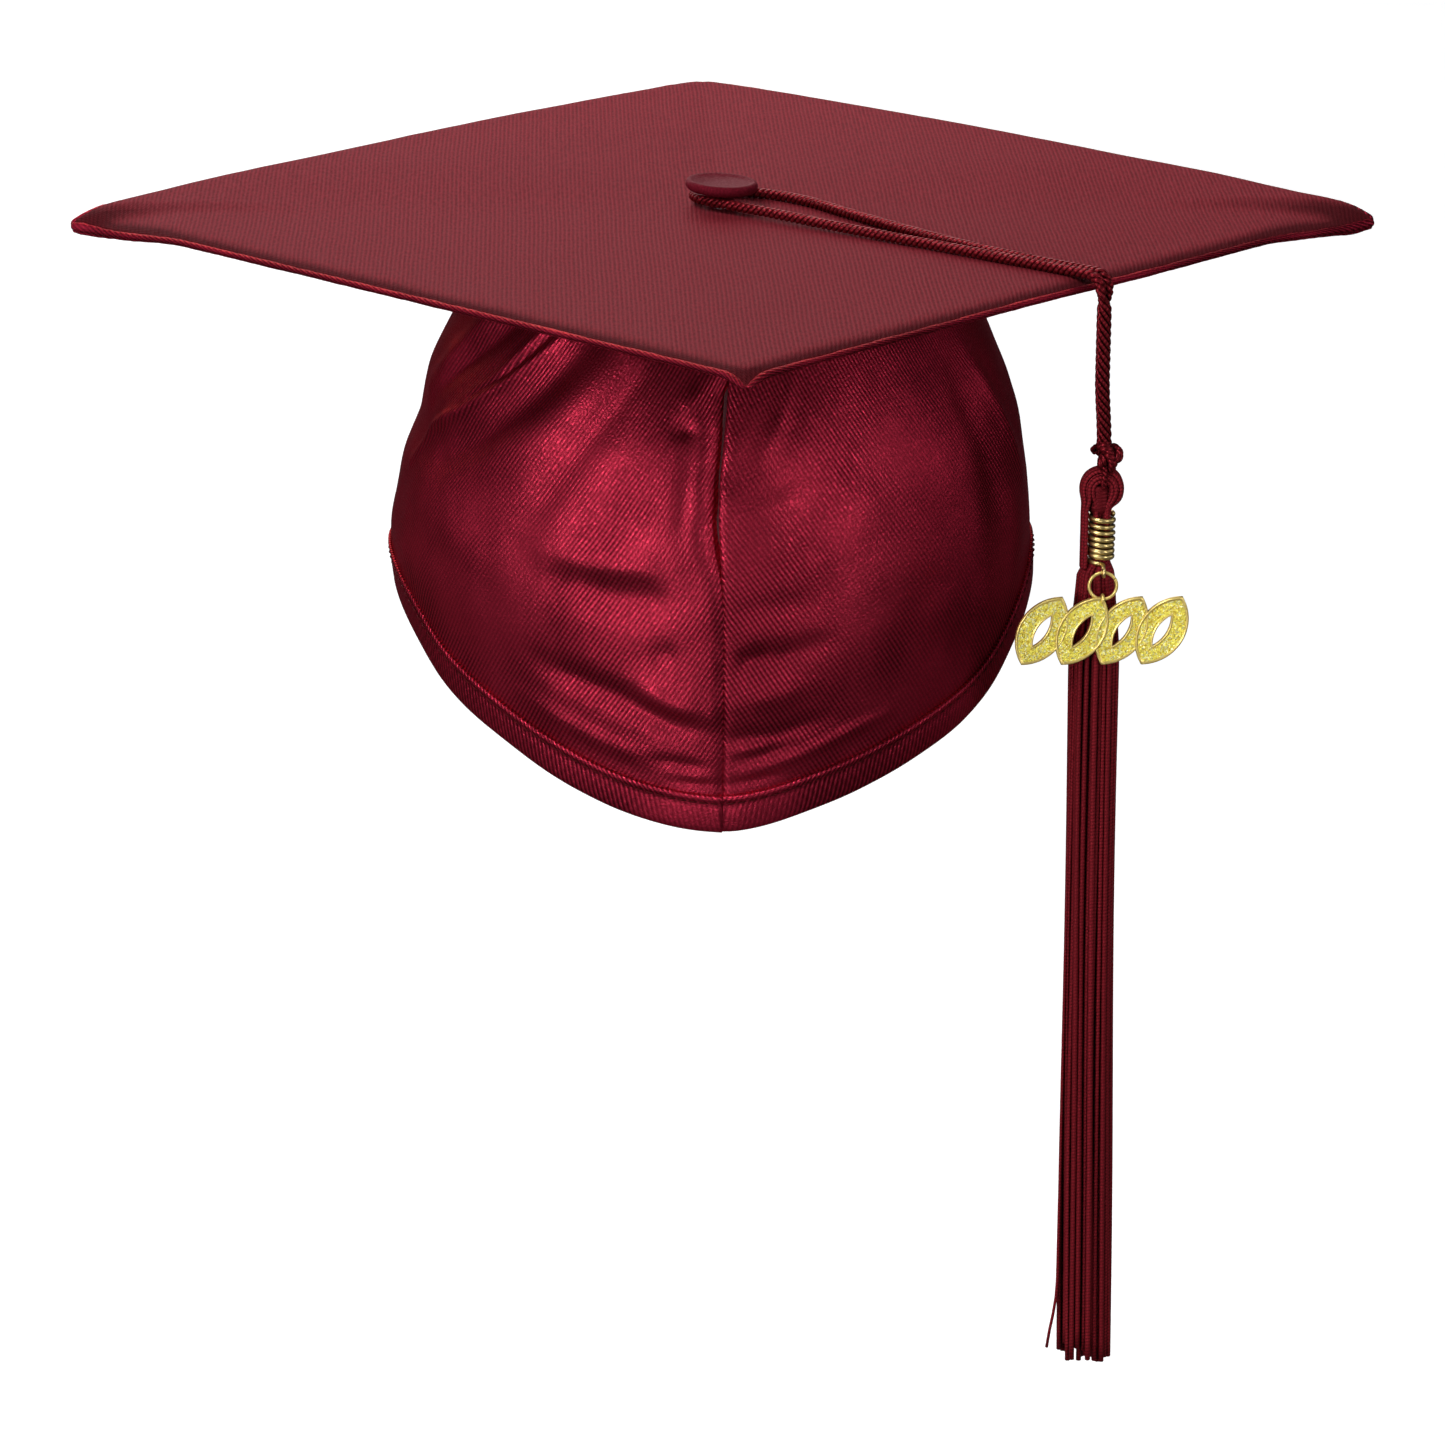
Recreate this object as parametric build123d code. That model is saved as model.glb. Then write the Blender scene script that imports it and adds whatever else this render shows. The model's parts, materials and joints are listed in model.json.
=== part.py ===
from build123d import *
import os
from math import asin, atan2, cos, degrees, radians, sin, sqrt

# Graduation cap: a square fabric-covered board on a two-panel skull cap, with a covered button and a
# corded tassel that hangs over the board's front left edge and carries a gilt charm.
#
# Frame: millimetres, +Z up, -Y the wearer's front, +X the wearer's left. The origin is the centre of
# the flat underside of the crown pad, where the top of the head touches the cap.

# ---- Driving dimensions -------------------------------------------------------------------------
BOARD_SIDE = 240.0          # across the flats of the finished board
CARD = 2.0                  # stiffener thickness
COVER = 0.5                 # board fabric thickness
PIPING_WIDTH = 1.5          # piping seen from above
CAP_HALF_WIDTH = 85.0       # outside of the skull cap at its widest, side to side
CAP_HALF_LENGTH = 98.0      # the same, front to back
PANEL = 0.6                 # skull cap fabric thickness
PAD_THICKNESS = 2.0         # felt pad inside the crown
HEM_SIDE_Z = -92.4          # lower edge at the temples
HEM_PEAK_DROP = 42.5        # how much lower the front and back peaks are
BAND_HEIGHT = 10.0          # sewn hem band
BUTTON_RADIUS = 9.5
CORD_RADIUS = 1.2           # one twisted cord
TASSEL_LENGTH = 246.0       # top of the tassel's head to the strand ends

# ---- Levels through the crown, from the head upwards --------------------------------------------
CROWN_INNER = PAD_THICKNESS
CROWN_OUTER = CROWN_INNER + PANEL
CARD_LOW = CROWN_OUTER + COVER
CARD_HIGH = CARD_LOW + CARD
BOARD_TOP = CARD_HIGH + COVER

# ---- Button -------------------------------------------------------------------------------------
SHANK_RADIUS = 1.5
SHANK_HOLE = 1.6
RETAINER_RADIUS = 6.0
NECK_RADIUS = 2.5
BUTTON_UNDER = BOARD_TOP + 4.3
BUTTON_TOP = BOARD_TOP + 7.3
BUTTON_FABRIC = 0.5
BUTTON_ROUNDING = 1.95
SHELL_WALL = 0.4            # stamped shell under the fabric
SHELL_INSET = BUTTON_FABRIC + 0.05
SHELL_ROUNDING = 1.4
BACK_PLATE = 0.8
BACK_PLATE_RADIUS = BUTTON_RADIUS - 1.0
BACK_PLATE_Z = BUTTON_UNDER + 0.9
SHANK_LOW = 1.0
WASHER = 0.8                # push-on retainer under the crown
WASHER_Z = 1.5

# ---- Cord over the board and down from its edge --------------------------------------------------
CORD_ALONG_EDGE = 7.8       # the cord crosses the edge this far from its middle
CORD_Z = BOARD_TOP + CORD_RADIUS + 0.25
LOOP_RADIUS = 7.0           # centreline of the loop round the button's neck
EDGE_DISTANCE = BOARD_SIDE / 2
BEND_RADIUS = 3.6
BEND_START = EDGE_DISTANCE + 0.4
DROP_DISTANCE = BEND_START + BEND_RADIUS
DROP_TOP_Z = CORD_Z - BEND_RADIUS
DROP_RADIUS = 1.9           # two cords twisted together
DROP_BALL = 2.2
TWIST_Z = -36.6             # where the cord ends in its knot
RUN_GAP = 0.15              # running gap between parts that move past each other

OUT = Vector(1, -1, 0).normalized()     # square to the board's front left edge
ALONG = Vector(1, 1, 0).normalized()    # along that edge, towards the wearer's left
HANG = OUT * DROP_DISTANCE + ALONG * CORD_ALONG_EDGE

# ---- Tassel, in a frame whose Z axis is the hanging cord ------------------------------------------
KNOT_RADIUS = 3.8
KNOT_LOW = -42.1
HEAD_MAJOR = 3.5            # ring of folded strands
HEAD_MINOR = 2.2
HEAD_Z = -48.0              # centre of the ring, where the tassel swings
HEAD_TOP = HEAD_Z + HEAD_MAJOR + HEAD_MINOR
END_LOOP_MINOR = 0.8
NECK_OF_TASSEL = 2.8
WIRE_RADIUS = 0.65
COIL_PITCH = 1.8
COIL_TURNS = 7
COIL_RADIUS = NECK_OF_TASSEL + WIRE_RADIUS + 0.05
COIL_HIGH = -54.4
COIL_LOW = COIL_HIGH - COIL_PITCH * COIL_TURNS
SKIRT_TOP = COIL_LOW - 0.6
SKIRT_LOW = HEAD_TOP - TASSEL_LENGTH
CHARM_FRONT = -6.1          # the ring and the charm hang in this plane, in front of the strands
EYE_MAJOR = 1.0
EYE_MINOR = 0.4
EYE_Z = COIL_LOW - 1.2
RING_MAJOR = 3.5
RING_MINOR = 0.42
RING_Z = EYE_Z - RING_MAJOR
BAIL_Z = RING_Z - RING_MAJOR
CHARM_PLATE = 1.0
CHARM_RIM = 0.35            # height of the raised rim
LEAVES = 4
LEAF_LENGTH = 20.5
LEAF_WIDTH = 12.0
LEAF_PITCH = 10.1
LEAF_LEAN = degrees(asin(LEAF_PITCH / LEAF_LENGTH))    # puts the second leaf's tip in the middle
LEAF_RIM = 0.7
HEART_LENGTH = 9.0          # the opening in the middle of each leaf
HEART_WIDTH = 2.6
CHARM_TOP = BAIL_Z - 0.6
CHARM_MIDDLE = CHARM_TOP - LEAF_LENGTH / 2 * cos(radians(LEAF_LEAN))


def board_sheet(side, corner, low, thickness):
    """A square sheet with rounded corners, one corner pointing at the wearer's front."""
    outline = RectangleRounded(side, side, corner, rotation=45)
    return extrude(Plane.XY.offset(low) * outline, thickness)


def shank_hole():
    """The hole for the button's shank, through every layer of the crown."""
    return Cylinder(SHANK_HOLE, 4 * BOARD_TOP)


def ring(major, minor, axis):
    return Solid.make_torus(major, minor, Plane((0, 0, 0), z_dir=axis))


# ---- Board ---------------------------------------------------------------------------------------
COVER_SIDE = BOARD_SIDE - 2 * PIPING_WIDTH - 0.2
CARD_SIDE = COVER_SIDE - 0.8
COVER_CORNER = 2.0
CARD_CORNER = 14.0          # the stiffener's corners are cut back, so the fabric tips stay soft
PIPING_INSET = 0.1          # the piping is this much thinner than the board, above and below
PIPING_ROUNDING = 1.1


def board_core():
    return board_sheet(CARD_SIDE, CARD_CORNER, CARD_LOW, CARD) - shank_hole()


def board_top_cover():
    return board_sheet(COVER_SIDE, COVER_CORNER, CARD_HIGH, COVER) - shank_hole()


def board_bottom_cover():
    return board_sheet(COVER_SIDE, COVER_CORNER, CROWN_OUTER, COVER) - shank_hole()


def edge_piping():
    low, high = CROWN_OUTER + PIPING_INSET, BOARD_TOP - PIPING_INSET
    outer = board_sheet(BOARD_SIDE, COVER_CORNER + PIPING_WIDTH, low, high - low)
    outer = fillet(outer.edges().filter_by(Plane.XY), PIPING_ROUNDING)
    return outer - board_sheet(COVER_SIDE + 0.2, COVER_CORNER, low - 1, high - low + 2)


# ---- Skull cap -----------------------------------------------------------------------------------
WIDEST_Z = -85.4
CROWN_RISE = 118.0          # the dome's ellipse would close this far above its widest level
TUCK_IN = 0.055             # how far the cap draws in 50 mm below its widest level
FLOOR_Z = -145.0
SECTION_LEVELS = (-8.0, -25.0, -45.0, -65.0, WIDEST_Z, -105.0, -125.0, FLOOR_Z)


def dome_share(z):
    """Half-width at height z as a share of the widest half-width."""
    if z > WIDEST_Z:
        return sqrt(1 - ((z - WIDEST_Z) / CROWN_RISE) ** 2)
    return 1 - TUCK_IN * ((WIDEST_Z - z) / 50) ** 2


def dome(offset, region):
    """Solid dome, offset outside the cap's outer surface, within x low, x high, y low, y high."""
    x_low, x_high, y_low, y_high = region
    window = Pos((x_low + x_high) / 2, (y_low + y_high) / 2) * Rectangle(x_high - x_low, y_high - y_low)
    sections = []
    for z in (CROWN_OUTER + offset,) + SECTION_LEVELS:
        share = dome_share(z)
        oval = Ellipse(CAP_HALF_WIDTH * share + offset, CAP_HALF_LENGTH * share + offset)
        sections.append(Plane.XY.offset(z) * (oval & window))
    return loft(sections)


def dome_skin(outside, inside, region):
    """The skin between two offsets from the cap's outer surface; inside is negative."""
    x_low, x_high, y_low, y_high = region
    larger = (x_low - 1, x_high + 1, y_low - 1, y_high + 1)
    return dome(outside, region) - dome(inside, larger)


def below_hem(raised):
    """Everything below the hem line when that line is raised by this much."""
    reach = 120.0
    rise = HEM_PEAK_DROP * (reach / (CAP_HALF_LENGTH * dome_share(HEM_SIDE_Z - HEM_PEAK_DROP))) ** 2
    level = HEM_SIDE_Z + raised
    ends = level - rise
    curve = Bezier((0, -reach, ends), (0, 0, level + rise), (0, reach, ends))
    walls = Polyline((0, reach, ends), (0, reach, -400), (0, -reach, -400), (0, -reach, ends))
    return extrude(make_face([*curve.edges(), *walls.edges()]), amount=reach, both=True)


SEAM_GAP = 0.05
BIG = 150.0
LEFT_HALF = (SEAM_GAP, BIG, -BIG, BIG)
BAND_PROUD = 0.3            # the band stands this far off the panel, inside and out
INSIDE = -PANEL - 0.05      # just clear of the fabric's inner face
THREAD_PROUD = 0.35
THREAD_WIDTH = 0.4
ELASTIC = 1.0               # elastic thickness
ELASTIC_FROM_Y = 45.0       # the elastic starts this far behind the temples
TAPE = 0.45                 # seam tape thickness
TAPE_HALF_WIDTH = 6.0
TAPE_TOP = -5.0
LABEL = 0.35                # care label thickness
LABEL_FROM_X = 9.0
LABEL_WIDTH = 30.0
LABEL_HEIGHT = 18.0
CROWN_THREAD = 0.3          # radius of the thread that holds the crown
CROWN_OVAL = (46.0, 53.0)   # half-width and half-length of that thread line
PAD_RADIUS = 30.0
POCKET_LOW = 0.8            # the pad's pocket, which clears the button's retainer all round
POCKET_DEPTH = CROWN_INNER - POCKET_LOW
POCKET_RADIUS = RETAINER_RADIUS + 1.5


def other_side(shape):
    return mirror(shape, about=Plane.YZ)


def skullcap_left_panel():
    return dome_skin(0, -PANEL, LEFT_HALF) - below_hem(BAND_HEIGHT) - shank_hole()


def hem_band_left():
    """Folded band, a little thicker than the panel it is sewn to."""
    skin = dome_skin(BAND_PROUD, -PANEL - BAND_PROUD, LEFT_HALF)
    return (skin & below_hem(BAND_HEIGHT)) - below_hem(0)


def hem_stitching():
    """Top-stitching thread that lies on each panel just above the band."""
    skin = dome_skin(THREAD_PROUD, 0.02, LEFT_HALF)
    low = BAND_HEIGHT + 0.1
    thread = (skin & below_hem(low + THREAD_WIDTH)) - below_hem(low)
    return Compound([thread, other_side(thread)])


def elastic_band():
    """Elastic inside the back of the hem, from temple to temple round the back."""
    outside = INSIDE - BAND_PROUD
    skin = dome_skin(outside, outside - ELASTIC, (-BIG, BIG, ELASTIC_FROM_Y, BIG))
    return (skin & below_hem(BAND_HEIGHT - 1)) - below_hem(1)


def above(z):
    return Pos(0, 0, z + BIG) * Box(4 * BIG, 4 * BIG, 2 * BIG)


def seam_tape_front():
    """Bias tape over the centre seam's allowances, inside the cap, from crown to hem band."""
    skin = dome_skin(INSIDE, INSIDE - TAPE, (-TAPE_HALF_WIDTH, TAPE_HALF_WIDTH, -BIG, -20))
    return skin - below_hem(BAND_HEIGHT + 1) - above(TAPE_TOP)


def seam_tape_back():
    return mirror(seam_tape_front(), about=Plane.XZ)


def care_label():
    """Blank woven label sewn inside the back, above the band, beside the seam tape."""
    low = BAND_HEIGHT + 1
    skin = dome_skin(INSIDE, INSIDE - LABEL, (LABEL_FROM_X, LABEL_FROM_X + LABEL_WIDTH, 20, BIG))
    return (skin & below_hem(low + LABEL_HEIGHT)) - below_hem(low)


def crown_stitching():
    """Oval thread line that holds the crown to the board, inside the cap."""
    path = Pos(0, 0, CROWN_INNER - CROWN_THREAD) * Ellipse(*CROWN_OVAL).wire()
    return sweep(Plane(path @ 0, z_dir=path % 0) * Circle(CROWN_THREAD), path=path)


def crown_pad():
    """Felt disc under the crown; its pocket hides the button's retainer from the head."""
    pocket = Pos(0, 0, POCKET_LOW + POCKET_DEPTH / 2) * Cylinder(POCKET_RADIUS, POCKET_DEPTH)
    return Pos(0, 0, PAD_THICKNESS / 2) * Cylinder(PAD_RADIUS, PAD_THICKNESS) - pocket


# ---- Button --------------------------------------------------------------------------------------
def button_back():
    """Back plate, neck and shank in one piece."""
    plate = Pos(0, 0, BACK_PLATE_Z) * Cylinder(BACK_PLATE_RADIUS, BACK_PLATE)
    neck_low = BOARD_TOP + 0.1
    neck = Pos(0, 0, (neck_low + BACK_PLATE_Z) / 2) * Cylinder(NECK_RADIUS, BACK_PLATE_Z - neck_low)
    shank = Pos(0, 0, (SHANK_LOW + BACK_PLATE_Z) / 2) * Cylinder(SHANK_RADIUS, BACK_PLATE_Z - SHANK_LOW)
    return plate + neck + shank


def cup(radius, low, top, wall, rounding):
    """Shallow cup, open underneath, with a rounded rim at the top."""
    height = top - low
    outside = Pos(0, 0, low + height / 2) * Cylinder(radius, height)
    outside = fillet(outside.edges().group_by(Axis.Z)[-1], rounding)
    hollow = Pos(0, 0, low - wall + height / 2) * Cylinder(radius - wall, height)
    hollow = fillet(hollow.edges().group_by(Axis.Z)[-1], rounding - wall)
    return outside - hollow


def button_shell():
    radius, top = BUTTON_RADIUS - SHELL_INSET, BUTTON_TOP - SHELL_INSET
    return cup(radius, BUTTON_UNDER + 0.3, top, SHELL_WALL, SHELL_ROUNDING)


def button_cover():
    return cup(BUTTON_RADIUS, BUTTON_UNDER, BUTTON_TOP, BUTTON_FABRIC, BUTTON_ROUNDING)


def button_retainer():
    """Push-on washer that holds the shank under the crown."""
    washer = Pos(0, 0, WASHER_Z) * Cylinder(RETAINER_RADIUS, WASHER)
    return washer - Cylinder(SHANK_RADIUS + 0.01, 10)


# ---- Cord ----------------------------------------------------------------------------------------
def tassel_cord_loop():
    """Doubled cord: a loop round the button's neck, and two runs that close up at the board's edge."""
    end = OUT * (BEND_START - RUN_GAP) + ALONG * CORD_ALONG_EDGE
    length = end.length
    half_gap = CORD_RADIUS + 0.05
    lean = asin((LOOP_RADIUS - half_gap) / length)
    touch = Vector(LOOP_RADIUS * sin(lean), LOOP_RADIUS * cos(lean))
    near = Line((length, half_gap), (touch.X, touch.Y))
    turn = ThreePointArc((touch.X, touch.Y), (-LOOP_RADIUS, 0), (touch.X, -touch.Y))
    far = Line((touch.X, -touch.Y), (length, -half_gap))
    path = Wire([*near.edges(), *turn.edges(), *far.edges()])
    profile = Plane((length, half_gap, 0), z_dir=near % 0) * Circle(CORD_RADIUS)
    cord = sweep(profile, path=path)
    return Pos(0, 0, CORD_Z) * Rot(0, 0, degrees(atan2(end.Y, end.X))) * cord


def edge_plane():
    """Local X points out from the board's edge, local Y is up, and the origin is on the swing axis."""
    origin = Vector(HANG.X, HANG.Y, DROP_TOP_Z)
    return Plane(origin, x_dir=OUT, z_dir=OUT.cross(Vector(0, 0, 1)))


def tassel_cord_bend():
    """The quarter turn over the board's edge, cut back round the swing axis."""
    arc = ThreePointArc(
        (-BEND_RADIUS, BEND_RADIUS, 0),
        (-BEND_RADIUS * (1 - sin(radians(45))), BEND_RADIUS * sin(radians(45)), 0),
        (0, 0, 0),
    )
    solid = sweep(Plane(arc @ 0, z_dir=arc % 0) * Circle(CORD_RADIUS), path=arc)
    solid = solid - Sphere(DROP_BALL + RUN_GAP)
    return edge_plane() * solid


def tassel_cord_drop():
    low = TWIST_Z + RUN_GAP
    shaft = Pos(0, 0, (DROP_TOP_Z + low) / 2) * Cylinder(DROP_RADIUS, DROP_TOP_Z - low)
    return Pos(HANG.X, HANG.Y, 0) * (shaft + Pos(0, 0, DROP_TOP_Z) * Sphere(DROP_BALL))


# ---- Tassel --------------------------------------------------------------------------------------
def hang(shape):
    return Pos(HANG.X, HANG.Y, 0) * shape


def cord_knot():
    """Overhand knot with the small end loop that holds the tassel's head."""
    height = TWIST_Z - RUN_GAP - KNOT_LOW
    body = Pos(0, 0, (TWIST_Z - RUN_GAP + KNOT_LOW) / 2) * Cylinder(KNOT_RADIUS, height)
    body = fillet(body.edges().filter_by(GeomType.CIRCLE), 2.4)
    loop = Pos(0, 0, HEAD_Z + HEAD_MAJOR) * ring(HEAD_MAJOR, END_LOOP_MINOR, (1, 0, 0))
    return hang(body + loop)


def tassel_head():
    """Ring of folded strands and the neck they make below it."""
    head = Pos(0, 0, HEAD_Z) * ring(HEAD_MAJOR, HEAD_MINOR, (0, 1, 0))
    neck_high = HEAD_Z - HEAD_MAJOR
    neck = Pos(0, 0, (neck_high + SKIRT_TOP) / 2) * Cylinder(NECK_OF_TASSEL, neck_high - SKIRT_TOP)
    return hang(head + neck)


def wire_coil():
    """Gilt wire wound round the neck, ending in an eye at the front."""
    height = COIL_PITCH * COIL_TURNS
    helix = Helix(COIL_PITCH, height, COIL_RADIUS)
    path = Rot(0, 0, -90) * helix
    coil = sweep(Plane(path @ 0, z_dir=path % 0) * Circle(WIRE_RADIUS), path=path, is_frenet=True)
    coil = Pos(0, 0, COIL_LOW) * coil
    eye = Pos(0, CHARM_FRONT, EYE_Z) * ring(EYE_MAJOR, EYE_MINOR, (1, 0, 0))
    stub = Line((0, -COIL_RADIUS, COIL_LOW), (0, CHARM_FRONT, EYE_Z + EYE_MAJOR))
    stub = sweep(Plane(stub @ 0, z_dir=stub % 0) * Circle(EYE_MINOR), path=stub)
    return hang(coil + stub + eye)


def tassel_skirt():
    """The strands below the neck, as one bundle of their true outline."""
    bundle = (
        (SKIRT_TOP, NECK_OF_TASSEL, NECK_OF_TASSEL),
        (SKIRT_TOP - 8, 5.8, 4.6),
        (SKIRT_TOP - 30, 6.7, 4.9),
        (SKIRT_TOP - 120, 6.9, 5.6),
        (SKIRT_LOW, 7.3, 6.2),
    )
    return hang(loft([Plane.XY.offset(z) * Ellipse(a, b) for z, a, b in bundle], ruled=True))


def jump_ring():
    """Ring that joins the wire's eye to the charm's bail."""
    return hang(Pos(0, CHARM_FRONT, RING_Z) * ring(RING_MAJOR, RING_MINOR, (0, 1, 0)))


def leaf(length, width):
    """Pointed oval, lying in the XY plane with its points on the Y axis."""
    half_length, half_width = length / 2, width / 2
    right = ThreePointArc((0, -half_length), (half_width, 0), (0, half_length))
    left = ThreePointArc((0, half_length), (-half_width, 0), (0, -half_length))
    return make_face([*right.edges(), *left.edges()])


def garland(shrink):
    """Four leaning leaves side by side, overlapping, each with an open heart."""
    leaves = []
    hearts = []
    for k in range(LEAVES):
        place = Pos((k - (LEAVES - 1) / 2) * LEAF_PITCH, 0) * Rot(0, 0, -LEAF_LEAN)
        leaves.append(place * leaf(LEAF_LENGTH - 3 * shrink, LEAF_WIDTH - 2 * shrink))
        hearts.append(place * leaf(HEART_LENGTH + 2 * shrink, HEART_WIDTH + 2 * shrink))
    shape = Sketch() + leaves
    return shape - hearts


def on_charm(shape):
    """Place a shape drawn on the charm's face: local X to the wearer's left, local Y up."""
    return Plane((0, CHARM_FRONT, CHARM_MIDDLE), x_dir=(1, 0, 0), z_dir=(0, -1, 0)) * shape


def charm_frame():
    """Cast leaf garland with a raised rim and a bail at the top."""
    plate = Pos(0, 0, -CHARM_PLATE / 2) * extrude(garland(0), CHARM_PLATE + CHARM_RIM)
    recess = Pos(0, 0, CHARM_PLATE / 2) * extrude(garland(LEAF_RIM), CHARM_RIM + 1)
    bail = Pos(0, CHARM_FRONT, BAIL_Z) * ring(EYE_MAJOR, EYE_MINOR, (1, 0, 0))
    return hang(on_charm(plate - recess) + bail)


def charm_glitter():
    """Glitter enamel that fills the frame's recess."""
    inlay = Pos(0, 0, CHARM_PLATE / 2) * extrude(garland(LEAF_RIM + 0.02), CHARM_RIM - 0.1)
    return hang(on_charm(inlay))


def parts():
    left_panel = skullcap_left_panel()
    left_band = hem_band_left()
    return {
        "board_core": board_core(),
        "board_top_cover": board_top_cover(),
        "board_bottom_cover": board_bottom_cover(),
        "edge_piping": edge_piping(),
        "skullcap_left_panel": left_panel,
        "skullcap_right_panel": other_side(left_panel),
        "hem_band_left": left_band,
        "hem_band_right": other_side(left_band),
        "hem_stitching": hem_stitching(),
        "elastic_band": elastic_band(),
        "seam_tape_front": seam_tape_front(),
        "seam_tape_back": seam_tape_back(),
        "care_label": care_label(),
        "crown_stitching": crown_stitching(),
        "crown_pad": crown_pad(),
        "button_back": button_back(),
        "button_shell": button_shell(),
        "button_cover": button_cover(),
        "button_retainer": button_retainer(),
        "tassel_cord_loop": tassel_cord_loop(),
        "tassel_cord_bend": tassel_cord_bend(),
        "tassel_cord_drop": tassel_cord_drop(),
        "cord_knot": cord_knot(),
        "tassel_head": tassel_head(),
        "wire_coil": wire_coil(),
        "tassel_skirt": tassel_skirt(),
        "jump_ring": jump_ring(),
        "charm_frame": charm_frame(),
        "charm_glitter": charm_glitter(),
    }


os.makedirs("parts", exist_ok=True)
for name, shape in parts().items():
    export_step(shape, f"parts/{name}.step")
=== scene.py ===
import json
import math
import random

import bmesh
import bpy
import numpy as np
from mathutils import Matrix, Vector, noise


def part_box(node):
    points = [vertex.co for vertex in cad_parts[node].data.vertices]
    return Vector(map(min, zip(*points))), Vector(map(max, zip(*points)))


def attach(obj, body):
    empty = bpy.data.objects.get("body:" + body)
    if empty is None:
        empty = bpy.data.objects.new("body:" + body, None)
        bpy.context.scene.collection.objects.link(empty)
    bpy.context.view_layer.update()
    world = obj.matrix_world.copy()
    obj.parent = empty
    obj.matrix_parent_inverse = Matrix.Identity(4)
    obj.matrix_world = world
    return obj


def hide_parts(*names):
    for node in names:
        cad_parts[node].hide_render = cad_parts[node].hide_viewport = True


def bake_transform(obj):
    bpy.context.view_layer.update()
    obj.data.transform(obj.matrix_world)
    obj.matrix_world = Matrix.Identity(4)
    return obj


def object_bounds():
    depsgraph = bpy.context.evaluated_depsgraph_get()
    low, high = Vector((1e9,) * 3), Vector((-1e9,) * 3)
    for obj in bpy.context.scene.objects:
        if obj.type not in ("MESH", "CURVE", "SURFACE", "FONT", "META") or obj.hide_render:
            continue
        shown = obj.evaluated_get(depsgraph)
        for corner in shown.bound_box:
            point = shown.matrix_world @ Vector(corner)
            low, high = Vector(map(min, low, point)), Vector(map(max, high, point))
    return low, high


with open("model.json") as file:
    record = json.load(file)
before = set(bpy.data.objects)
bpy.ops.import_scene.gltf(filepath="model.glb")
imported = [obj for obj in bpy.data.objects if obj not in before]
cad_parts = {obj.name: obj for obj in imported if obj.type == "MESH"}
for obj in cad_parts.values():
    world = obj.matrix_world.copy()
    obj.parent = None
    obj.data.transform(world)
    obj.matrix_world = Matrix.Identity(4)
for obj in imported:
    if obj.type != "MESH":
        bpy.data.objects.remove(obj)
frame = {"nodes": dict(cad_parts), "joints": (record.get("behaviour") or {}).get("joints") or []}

# A maroon graduation cap: ribbed twill board, satin skull cap, covered button, twisted cord, tassel
# and a gilt charm of leaves. Points are in millimetres in the shared frame (+Z up, -Y the wearer's
# front) and are turned into metres when a mesh is made. Left and right are the wearer's.

MM = 0.001
CAD_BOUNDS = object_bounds()
RANDOM = random.Random(7)


def cad_box(node):
    """Lowest and highest corners of a CAD node, in millimetres."""
    low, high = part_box(node)
    return np.array(low) / MM, np.array(high) / MM


def joint_point(name):
    """The place of a joint, in millimetres."""
    return next(np.array(j["pos_m"]) / MM for j in frame["joints"] if j["name"] == name)


# ---- Sizes taken from the frame ------------------------------------------------------------------
BOARD_TOP = cad_box("board_top_cover")[1][2]
BOARD_UNDER = cad_box("board_bottom_cover")[0][2]
PIPING_LOW, PIPING_HIGH = cad_box("edge_piping")[0][2], cad_box("edge_piping")[1][2]
BOARD_CORNER = 3.5                              # corner radius of the solid board
TIP = cad_box("edge_piping")[1][0]              # centre to corner, along the diagonal
HALF_SIDE = (TIP - BOARD_CORNER) / math.sqrt(2) + BOARD_CORNER
CAP_HALF_WIDTH = cad_box("skullcap_left_panel")[1][0]
CAP_HALF_LENGTH = cad_box("skullcap_left_panel")[1][1]
MEAN_RADIUS = (CAP_HALF_WIDTH + CAP_HALF_LENGTH) / 2
CROWN_INNER = cad_box("crown_pad")[1][2]
CROWN_OUTER = BOARD_UNDER
HEM_PEAK_Z = cad_box("hem_band_left")[0][2]
BAND_HEIGHT = 10.0
BUTTON_RADIUS = cad_box("button_cover")[1][0]
BUTTON_LOW, BUTTON_TOP = cad_box("button_cover")[0][2], cad_box("button_cover")[1][2]
CORD_RADIUS = 1.45                              # of one of the two cords
CORD_Z = joint_point("cord_turn")[2]
BEND_START = joint_point("edge_sway")
HANG = joint_point("edge_swing")
KNOT_TOP = joint_point("tassel_twist")[2]
HEAD_Z = joint_point("tassel_sway")[2]
EYE_Z = joint_point("ring_tip")[2]
CHARM_Y = joint_point("ring_tip")[1]
RING_Z = joint_point("charm_sway")[2]
COIL_LOW, COIL_HIGH = EYE_Z + 1.2, EYE_Z + 13.8
SKIRT_LOW = cad_box("tassel_skirt")[0][2]
CHARM_LOW, CHARM_HIGH = cad_box("charm_glitter")[0][2], cad_box("charm_glitter")[1][2]
OUT = np.array([1, -1, 0]) / math.sqrt(2)       # square to the board's front left edge
ALONG = np.array([1, 1, 0]) / math.sqrt(2)      # along that edge
UP = np.array([0, 0, 1.0])
BACKWARDS = np.array([0, 1.0, 0])


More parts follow.
